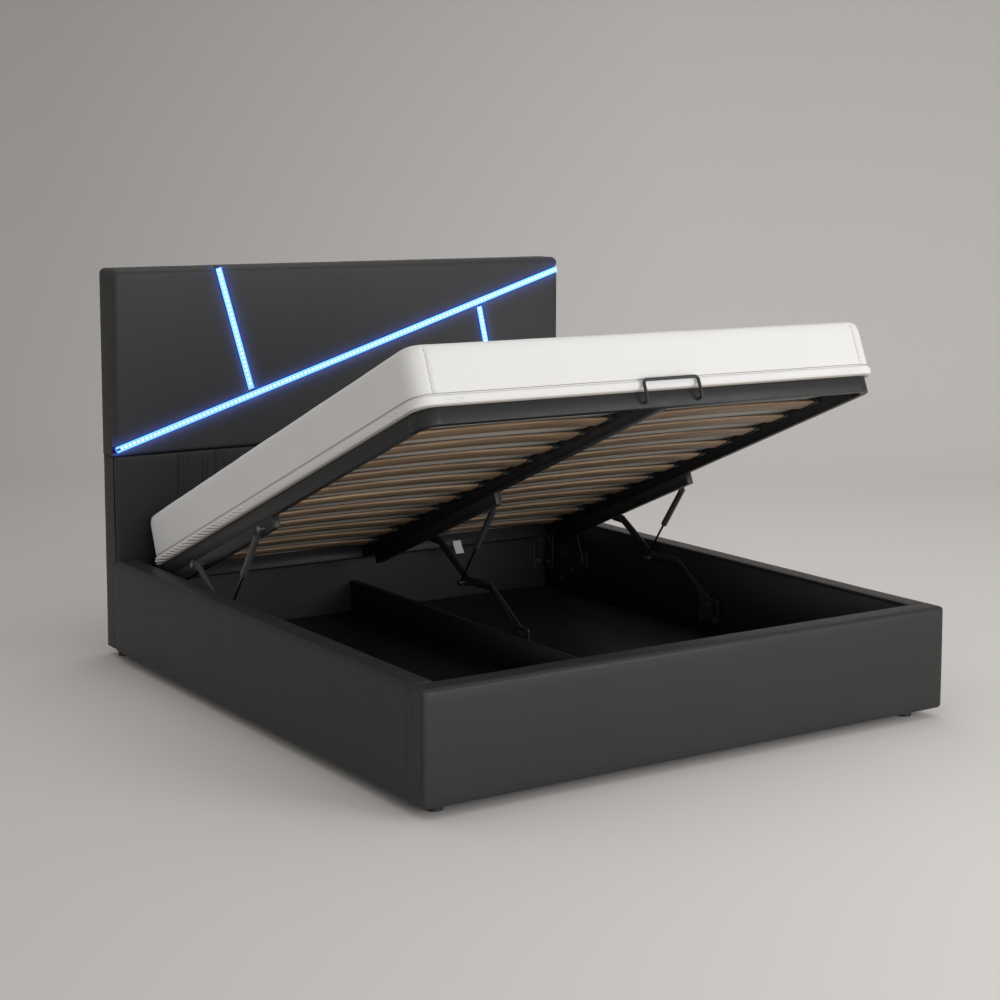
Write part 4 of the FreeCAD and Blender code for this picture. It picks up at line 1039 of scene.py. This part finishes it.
def longSharpEdge(node):
    # direction of the longest edge where two faces meet at an angle
    work = weldedCopy(nodes[node].data)
    sharp = [e for e in work.edges if len(e.link_faces) == 2 and e.calc_face_angle(0) > 0.5]
    longest = max(sharp, key=lambda e: e.calc_length())
    direction = (longest.verts[1].co - longest.verts[0].co).normalized()
    work.free()
    return direction


liftAlong = longSharpEdge("frame_left_tube")
if liftAlong.y < 0:
    liftAlong.negate()
liftUp = Vector((1, 0, 0)).cross(liftAlong).normalized()


def liftPlace(x, along, up):
    return Vector((x, 0, 0)) + liftAlong * along + liftUp * up


def liftBox(node):
    points = meshPoints(node)
    spans = [[p.x for p in points], [p.dot(liftAlong) for p in points], [p.dot(liftUp) for p in points]]
    return [min(s) for s in spans], [max(s) for s in spans]


undersideShadeValues = {"colour": (0.5, 0.47, 0.42, 1), "above": 0.004, "room": 0.002}


def paintUndersideShade(material, level):
    # the cover is painted greyer on its underside, below a level of the lift's own, as painted shade
    tree = material.node_tree
    shader = tree.nodes["Principled BSDF"]
    top = shader.inputs["Base Color"].links[0].from_socket
    height = vectorNode(tree, "DOT_PRODUCT", objectPlace(tree), liftUp, "Value")
    share = remap(tree, height, level, level + undersideShadeValues["above"])
    under = mixColour(tree, 1.0, top, undersideShadeValues["colour"], "MULTIPLY")
    feed(tree, mixColour(tree, share, under, top), shader.inputs["Base Color"])


mattressValues = {"step": 0.021, "corner": 0.058, "topRound": 0.036, "lowRound": 0.014, "hem": 0.03,
                  "start": 0.004, "lowStart": 0.0005, "lowStep": 0.012, "highStep": 0.018,
                  "aboveBottom": 0.007, "aboveHem": 0.008, "belowTop": 0.01,
                  "seamOffset": 0.004, "seamDepth": 0.0045, "seamWidth": 0.0035, "tuckUnder": 0.02,
                  "pucker": 0.0022, "puckerPitch": 0.022, "puckerReach": 0.03,
                  "broad": 0.0016, "broadSize": 0.3, "small": 0.0007, "smallSize": 0.07, "sink": 0.0012}
simulationValues = {"frames": 20, "reach": 0.011, "settings": {
    "quality": 4, "mass": 0.4, "use_pressure": True, "uniform_pressure_force": 4.0,
    "vertex_group_mass": "held", "tension_stiffness": 18, "compression_stiffness": 12,
    "bending_stiffness": 1.2}}
bandValues = {"step": 0.0025, "swell": -0.001, "tuck": 0.03, "depth": 0.008, "slant": 3.6, "pitch": 0.04,
              "lapIn": 0.016, "lapOut": 0.006, "rowStep": 0.002, "rowsFrom": 0.006, "rowsTo": 0.012,
              "tuckRise": 0.008, "tuckEnd": (-0.024, 0.014), "ground": 0.15, "sharpness": 0.9,
              "roundOff": [(0.001, 0.010), (0.0025, 0.008), (0.004, 0.006), (0.006, 0.004),
                           (0.008, 0.002), (0.010, 0.0005), (0.016, 0)],
              "cornerPlace": 0.13, "cornerReach": 0.045, "patch": 1.6, "patchSize": 3.1,
              "everywhere": 0.04, "atHead": 0.7, "atCorner": 0.3, "inPatches": 0.08}
seamShadowValues = {"radius": 0.0009, "sides": 6, "step": 0.012, "aboveHem": 0.001, "standOut": 0.3}


def spreadThrough(start, end, step, marks):
    # even places from start to end with the marks among them, and nothing crowded beside a mark
    even = [v for v in spread(start, end, step) if all(abs(v - m) > step * 0.35 for m in marks)]
    return sorted(set(even) | set(marks) | {start, end})


def cornerPath(low, high, corner, step):
    # the mattress outline seen from above, with the way outward, in the lift's own axes
    loop = roundedLoop([(low[0], low[1], corner), (high[0], low[1], corner), (high[0], high[1], corner),
                        (low[0], high[1], corner)], step, max(4, math.ceil(corner * 1.6 / step)))
    return [(p, n.normalized()) for p, n in loop]


def gatherStrength(x, along, low, high):
    # the hem is drawn up most at the head end of the sides and beside the foot's corners
    values = bandValues
    towardHead = smoothStep(0.35, 0.95, (along - low[1]) / (high[1] - low[1]))
    fromCorner = min(abs(x - low[0]), abs(x - high[0])) + abs(along - low[1])
    beside = math.exp(-((fromCorner - values["cornerPlace"]) / values["cornerReach"]) ** 2)
    spot = Vector((x * values["patchSize"], along * values["patchSize"], 7.0))
    patches = abs(noise.noise(spot)) * values["patch"]
    return min(1.0, values["everywhere"] + towardHead * (values["atHead"] + patches)
               + values["atCorner"] * beside + values["inPatches"] * patches)


def makeHemBand(low, high, hem):
    # gathered strip of cover below the hem seam, tucked under the edge
    values = bandValues
    path = cornerPath(low, high, mattressValues["corner"], values["step"])
    swell, tuck = values["swell"], values["tuck"]
    top = hem - low[2]
    section = [(-values["lapIn"], top + 0.001), (-values["lapOut"], top), (swell - 0.002, top - 0.003)]
    rows = spread(top - values["rowsFrom"], values["rowsTo"], values["rowStep"])
    section += [(swell, level) for level in rows]
    section += [(swell - inward, level) for inward, level in values["roundOff"]]
    section += [(-tuck, 0), (-tuck, values["tuckRise"]), values["tuckEnd"]]
    verts = []
    run = 0.0
    for i, (point, outward) in enumerate(path):
        run += (point - path[i - 1][0]).length if i else 0
        strength = gatherStrength(point.x, point.y, low, high)
        for offset, level in section:
            held = 0.9 * smoothStep(0.3, 0.95, level / top)
            free = smoothStep(swell - 0.017, swell - 0.008, offset) * (1 - held)
            phase = math.pi * (run + level * values["slant"]) / values["pitch"]
            phase += 3.2 * noise.noise(Vector((run * 5.3, level * 9, 2.5)))
            fold = values["ground"] - (1 - abs(math.sin(phase))) ** values["sharpness"]
            out = offset + values["depth"] * fold * strength * free
            at = point + outward * out
            verts.append(liftPlace(at.x, at.y, low[2] + level))
    return newObject("mattressHemBand", verts, sectionFaces(len(path), len(section), closed=True))


def makeMattress():
    values = mattressValues
    cadLow, cadHigh = liftBox("mattress")
    start = values["start"]
    low = [v + start for v in cadLow]
    high = [v - start for v in cadHigh]
    low[2] = cadLow[2] + values["lowStart"]
    middle = [(a + b) / 2 for a, b in zip(low, high)]
    half = [(b - a) / 2 for a, b in zip(low, high)]
    hem = cadLow[2] + values["hem"]
    seamX = half[0] - values["corner"]
    marks = [side * seamX + shift * values["seamOffset"] for side in (-1, 1) for shift in (-1, 0, 1)]
    levels = ([low[2]] + spread(low[2] + values["aboveBottom"], hem, values["lowStep"])
              + spread(hem + values["aboveHem"], high[2] - values["belowTop"], values["highStep"])
              + [high[2]])
    grids = [spreadThrough(low[0], high[0], values["step"], marks),
             spread(low[1], high[1], values["step"]), levels]

    def squareToRound(a, b):
        # a point of a square of side 1 goes to the quarter disc inside it
        size = math.hypot(a, b)
        return (0.0, 0.0) if size == 0 else (a * max(a, b) / size, b * max(a, b) / size)

    def shaped(x, t, n):
        dx, dt = x - middle[0], t - middle[1]
        sx, st = math.copysign(1, dx), math.copysign(1, dt)
        dx, dt = abs(dx), abs(dt)
        corner = values["corner"]
        ax, at = dx - (half[0] - corner), dt - (half[1] - corner)
        if ax > 0 and at > 0:
            ax, at = squareToRound(ax / corner, at / corner)
            dx, dt = half[0] - corner + ax * corner, half[1] - corner + at * corner
            inner = corner - math.hypot(ax, at) * corner
            outward = Vector((ax, at)).normalized()
        elif half[0] - dx < half[1] - dt:
            inner, outward = half[0] - dx, Vector((1, 0))
        else:
            inner, outward = half[1] - dt, Vector((0, 1))
        for edge, sign, radius in ((high[2], 1, values["topRound"]), (low[2], -1, values["lowRound"])):
            fromEdge = (edge - n) * sign
            if inner < radius and fromEdge < radius:
                a, b = squareToRound(1 - inner / radius, 1 - fromEdge / radius)
                move = inner - radius * (1 - a)
                dx, dt = dx + outward.x * move, dt + outward.y * move
                n = edge - sign * radius * (1 - b)
        return middle[0] + sx * dx, middle[1] + st * dt, n

    index, verts, faces = {}, [], []

    def vertex(i, j, k):
        if (i, j, k) not in index:
            index[(i, j, k)] = len(verts)
            verts.append(shaped(grids[0][i], grids[1][j], grids[2][k]))
        return index[(i, j, k)]

    counts = [len(g) - 1 for g in grids]
    for axis in range(3):
        first, second = [a for a in range(3) if a != axis]
        for end in (0, counts[axis]):
            for p in range(counts[first]):
                for q in range(counts[second]):
                    quad = []
                    for dp, dq in ((0, 0), (1, 0), (1, 1), (0, 1)):
                        spot = [0, 0, 0]
                        spot[axis], spot[first], spot[second] = end, p + dp, q + dq
                        quad.append(vertex(*spot))
                    faces.append(tuple(quad))
    mattress = newObject("mattressBody", [liftPlace(*v) for v in verts], faces)
    simulate(mattress, [v[2] for v in verts], hem)
    smooth = mattress.modifiers.new("finer", "SUBSURF")
    smooth.levels = 1
    applyModifiers(mattress)

    def give(place, normal):
        up = place.dot(liftUp)
        side = 1 - smoothStep(0.5, 0.9, abs(normal.dot(liftUp)))
        ends = smoothStep(0.6, 0.95, abs(normal.dot(liftAlong))) * side
        fromSeam = abs(abs(place.x) - seamX)
        seam = math.exp(-(fromSeam / values["seamWidth"]) ** 2) * ends
        beside = math.exp(-(fromSeam / values["puckerReach"])) * ends
        pucker = math.sin(2 * math.pi * up / values["puckerPitch"] + 5 * noise.noise(place * 11))
        under = 1 - smoothStep(hem - 0.004, hem + 0.001, up)
        soft = (softUneven(place, values["broad"], values["broadSize"], 3.0)
                + softUneven(place, values["small"], values["smallSize"], 9.0))
        return (-values["seamDepth"] * seam + values["pucker"] * pucker * beside * (1 - seam)
                - values["tuckUnder"] * under * side + (soft - values["sink"]) * (1 - under))

    shapeSurface(mattress, give)
    band = makeHemBand(cadLow, cadHigh, hem)
    seamShadow = makeHemSeamShadow(mattress, cadLow, cadHigh, hem)
    paintUndersideShade(finishes["mattress"], cadLow[2] + undersideShadeValues["room"])
    cover = joinPieces("mattressCover", [mattress, band])
    for face in cover.data.polygons:
        face.use_smooth = True
    upholstered(cover, "lift", ["mattress"], "mattress")
    dress(seamShadow, "seamShadow", "lift")


def makeHemSeamShadow(mattress, low, high, hem):
    # dark cord along the hem seam, laid on the cover's side just above the band: part seam, part painted
    # shade of the seam's line
    values = seamShadowValues
    path = cornerPath(low, high, mattressValues["corner"], values["step"])
    radius, sides = values["radius"], values["sides"]
    verts = []
    for point, outward in path:
        beside = liftPlace(point.x, point.y, hem + values["aboveHem"])
        place = mattress.closest_point_on_mesh(beside)[1]
        away = liftPlace(outward.x, outward.y, 0)
        centre = place + away * (radius * values["standOut"])
        for k in range(sides):
            angle = 2 * math.pi * k / sides
            verts.append(centre + away * (radius * math.cos(angle)) + liftUp * (radius * math.sin(angle)))
    return newObject("mattressHemSeamShadow", verts, sectionFaces(len(path), sides, closed=True))


def simulate(mattress, levels, hem):
    # the cover swells under pressure; its hem seam and its underside are held
    values = simulationValues
    held = mattress.vertex_groups.new(name="held")
    held.add([i for i, up in enumerate(levels) if up < hem + 0.001], 1.0, "REPLACE")
    before = [v.co.copy() for v in mattress.data.vertices]
    cloth = mattress.modifiers.new("cloth", "CLOTH")
    for key, value in values["settings"].items():
        setattr(cloth.settings, key, value)
    cloth.settings.effector_weights.gravity = 0
    cloth.collision_settings.use_collision = False
    scene = bpy.context.scene
    for number in range(1, values["frames"] + 1):
        scene.frame_set(number)
    graph = bpy.context.evaluated_depsgraph_get()
    after = [v.co.copy() for v in mattress.evaluated_get(graph).data.vertices]
    mattress.modifiers.clear()
    mattress.vertex_groups.clear()
    scene.frame_set(1)
    for vert, old, new in zip(mattress.data.vertices, before, after):
        move = new - old
        if move.length > values["reach"]:
            move *= values["reach"] / move.length
        vert.co = old + move
    mattress.data.update()
    print("mattress simulated, largest move", max((n - o).length for n, o in zip(after, before)))


makeMattress()
print("mattress made")

# Blank cloth tag that hangs from the head tube

tagValues = {"width": 0.036, "length": 0.052, "x": 0.39, "thick": 0.0012, "curl": 0.006, "free": 0.02,
             "bendReach": 0.03, "wave": 0.0012, "gap": 0.0004, "columns": 7, "rows": 9}


def makeTag():
    values = tagValues
    low = liftBox("frame_head_tube")[0]
    verts, faces = [], []
    columns, rows = values["columns"], values["rows"]
    for layer in (0, values["thick"]):
        for j in range(rows):
            down = values["length"] * j / (rows - 1)
            hang = max(0.0, down - values["free"])
            bend = values["curl"] * (hang / values["bendReach"]) ** 2
            clear = values["wave"] * smoothStep(0, 0.02, hang)
            for i in range(columns):
                x = values["x"] + values["width"] * (i / (columns - 1) - 0.5)
                wave = clear * math.sin(i * 1.1 + j * 0.4)
                verts.append(liftPlace(x, low[1] - values["gap"] - layer - bend - wave - clear,
                                       low[2] + values["free"] - down))
    size = columns * rows
    for j in range(rows - 1):
        for i in range(columns - 1):
            a = j * columns + i
            faces.append((a, a + 1, a + columns + 1, a + columns))
            faces.append((size + a, size + a + columns, size + a + columns + 1, size + a + 1))
    rim = ([i for i in range(columns)]
           + [j * columns + columns - 1 for j in range(1, rows)]
           + [(rows - 1) * columns + i for i in range(columns - 2, -1, -1)]
           + [j * columns for j in range(rows - 2, 0, -1)])
    for a, b in zip(rim, rim[1:] + rim[:1]):
        faces.append((a, b, b + size, a + size))
    dress(newObject("blankTag", verts, faces), "tag", "lift")


makeTag()
print("tag made")

# Hard pieces: copies of the CAD nodes with softened edges

# bevel width, finish, nodes
edgeValues = [
    (0.0015, "board", ["left_rail_board", "right_rail_board", "foot_board", "centre_beam", "box_battens"]),
    (0.001, "board", ["left_floor_panel", "right_floor_panel"]),
    (0.001, "timber", ["headboard_front_board"]),
    (0.0015, "timber", ["headboard_stiles", "headboard_cross_rails"]),
    (0.0012, "slat", ["left_slats", "right_slats"]),
    (0.0008, "plastic", ["slat_holders"]),
    (0.002, "framePaint", ["frame_foot_tube", "frame_left_tube", "frame_right_tube", "frame_head_tube",
                           "frame_centre_tube", "left_lift_rail", "right_lift_rail", "centre_lift_rail"]),
    (0.001, "plastic", ["rail_end_caps"]),
    (0.002, "plastic", ["led_driver"]),
    (0.0006, "gearPaint", ["left_arm", "right_arm", "centre_arm"]),
    (0.0004, "gearPaint", ["left_base_bracket", "right_base_bracket", "centre_base_bracket",
                           "left_rear_bracket", "right_rear_bracket", "left_rear_link", "right_rear_link",
                           "corner_brackets"]),
]
plainFinishes = {
    "plastic": ["feet", "power_inlet"],
    "channel": ["led_channels"],
    "strip": ["led_strips"],
    "zinc": ["base_pins", "lift_pins", "frame_bolts"],
    "gearPaint": ["lift_handle"],
    "strutPaint": ["left_strut_cylinder", "centre_strut_cylinder", "right_strut_cylinder"],
    "rod": ["left_strut_rod", "centre_strut_rod", "right_strut_rod"],
}


def softEdged(node, width, finishName):
    source = nodes[node]
    work = weldedCopy(source.data)
    bmesh.ops.dissolve_limit(work, angle_limit=math.radians(0.5), verts=work.verts, edges=work.edges)
    piece = fromWork(node + "_edged", work)
    bevel = piece.modifiers.new("edges", "BEVEL")
    bevel.width = width
    bevel.segments = 2
    bevel.limit_method = "ANGLE"
    bevel.angle_limit = math.radians(35)
    bevel.harden_normals = True
    applyModifiers(piece)
    for face in piece.data.polygons:
        face.use_smooth = True
    piece.data.set_sharp_from_angle(angle=math.radians(50))
    dress(piece, finishName, source["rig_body"], [node])


finished = 0
for width, finishName, group in edgeValues:
    for node in group:
        softEdged(node, width, finishName)
        finished += 1
for finishName, group in plainFinishes.items():
    for node in group:
        wear(nodes[node], finishName)
        finished += 1
print("hard pieces finished:", finished)

# Studio: floor that sweeps up into a backdrop with painted shade, lamps and world

studioValues = {"near": -14.0, "far": 4.5, "bend": 3.5, "high": 12.0, "halfWidth": 22.0, "arcSteps": 24,
                "leftShadeFrom": -3.2, "leftShadeTo": 1.2, "leftShadeTone": (0.73, 0.73, 0.73, 1), "wallFrom": 3.0,
                "floorTone": (0.84, 0.81, 0.785, 1), "wallTone": (0.72, 0.7, 0.68, 1),
                "roughness": 0.9, "specular": 0.1}


def makeStudio():
    values = studioValues
    yaw = math.radians(cameraValues["yaw"])
    ahead = Vector((math.sin(yaw), math.cos(yaw), 0))
    across = Vector((math.cos(yaw), -math.sin(yaw), 0))
    far, bend = values["far"], values["bend"]
    profile = [(values["near"], 0.0), (far, 0.0)]
    for k in range(1, values["arcSteps"] + 1):
        angle = math.pi / 2 * k / values["arcSteps"]
        profile.append((far + bend * math.sin(angle), bend * (1 - math.cos(angle))))
    profile.append((far + bend, values["high"]))
    verts, faces = [], []
    for depth, level in profile:
        for side in (-values["halfWidth"], values["halfWidth"]):
            verts.append(ahead * depth + across * side + Vector((0, 0, level)))
    for j in range(len(profile) - 1):
        faces.append((2 * j, 2 * j + 1, 2 * j + 3, 2 * j + 2))
    sweep = newObject("studioSweep", verts, faces)
    material, tree, shader = newMaterial("studioPaper")
    place = objectPlace(tree)
    # painted shade: the wall is painted darker than the floor, and the paper darker toward the left
    rise = remap(tree, splitAxes(tree, place)[2], 0.0, values["wallFrom"])
    upright = mixColour(tree, rise, values["floorTone"], values["wallTone"])
    sideways = vectorNode(tree, "DOT_PRODUCT", place, across, "Value")
    leftShadeShare = remap(tree, sideways, values["leftShadeTo"], values["leftShadeFrom"])
    leftShaded = mixColour(tree, 1.0, upright, values["leftShadeTone"], "MULTIPLY")
    feed(tree, mixColour(tree, leftShadeShare, upright, leftShaded), shader.inputs["Base Color"])
    shader.inputs["Roughness"].default_value = values["roughness"]
    shader.inputs["Specular IOR Level"].default_value = values["specular"]
    sweep.data.materials.append(material)


lampValues = {
    "key": {"place": (2.6, -6.2, 1.7), "aim": (0.0, -0.4, 0.5), "size": 3.4, "power": 158},
    "front": {"place": (-1.2, -7.0, 1.3), "aim": (0.0, -0.4, 0.5), "size": 2.6, "power": 60},
    "top": {"place": (0.5, 0.6, 5.0), "aim": (0.0, 0.4, 0.6), "size": 4.0, "power": 45},
}
worldValues = {"colour": (1, 0.985, 0.97, 1), "strength": 0.49}


def makeLamps():
    for name, values in lampValues.items():
        lamp = bpy.data.lights.new(name + "Lamp", "AREA")
        lamp.shape = "SQUARE"
        lamp.size = values["size"]
        lamp.energy = values["power"]
        holder = linked(name + "Lamp", lamp)
        holder.location = values["place"]
        aim = Vector(values["aim"]) - Vector(values["place"])
        holder.rotation_euler = aim.to_track_quat("-Z", "Y").to_euler()
    world = bpy.data.worlds.new("softRoom")
    world.use_nodes = True
    back = world.node_tree.nodes["Background"]
    back.inputs["Color"].default_value = worldValues["colour"]
    back.inputs["Strength"].default_value = worldValues["strength"]
    bpy.context.scene.world = world


makeStudio()
makeLamps()
bpy.context.scene.view_settings.view_transform = "Standard"
print("studio and lamps made")
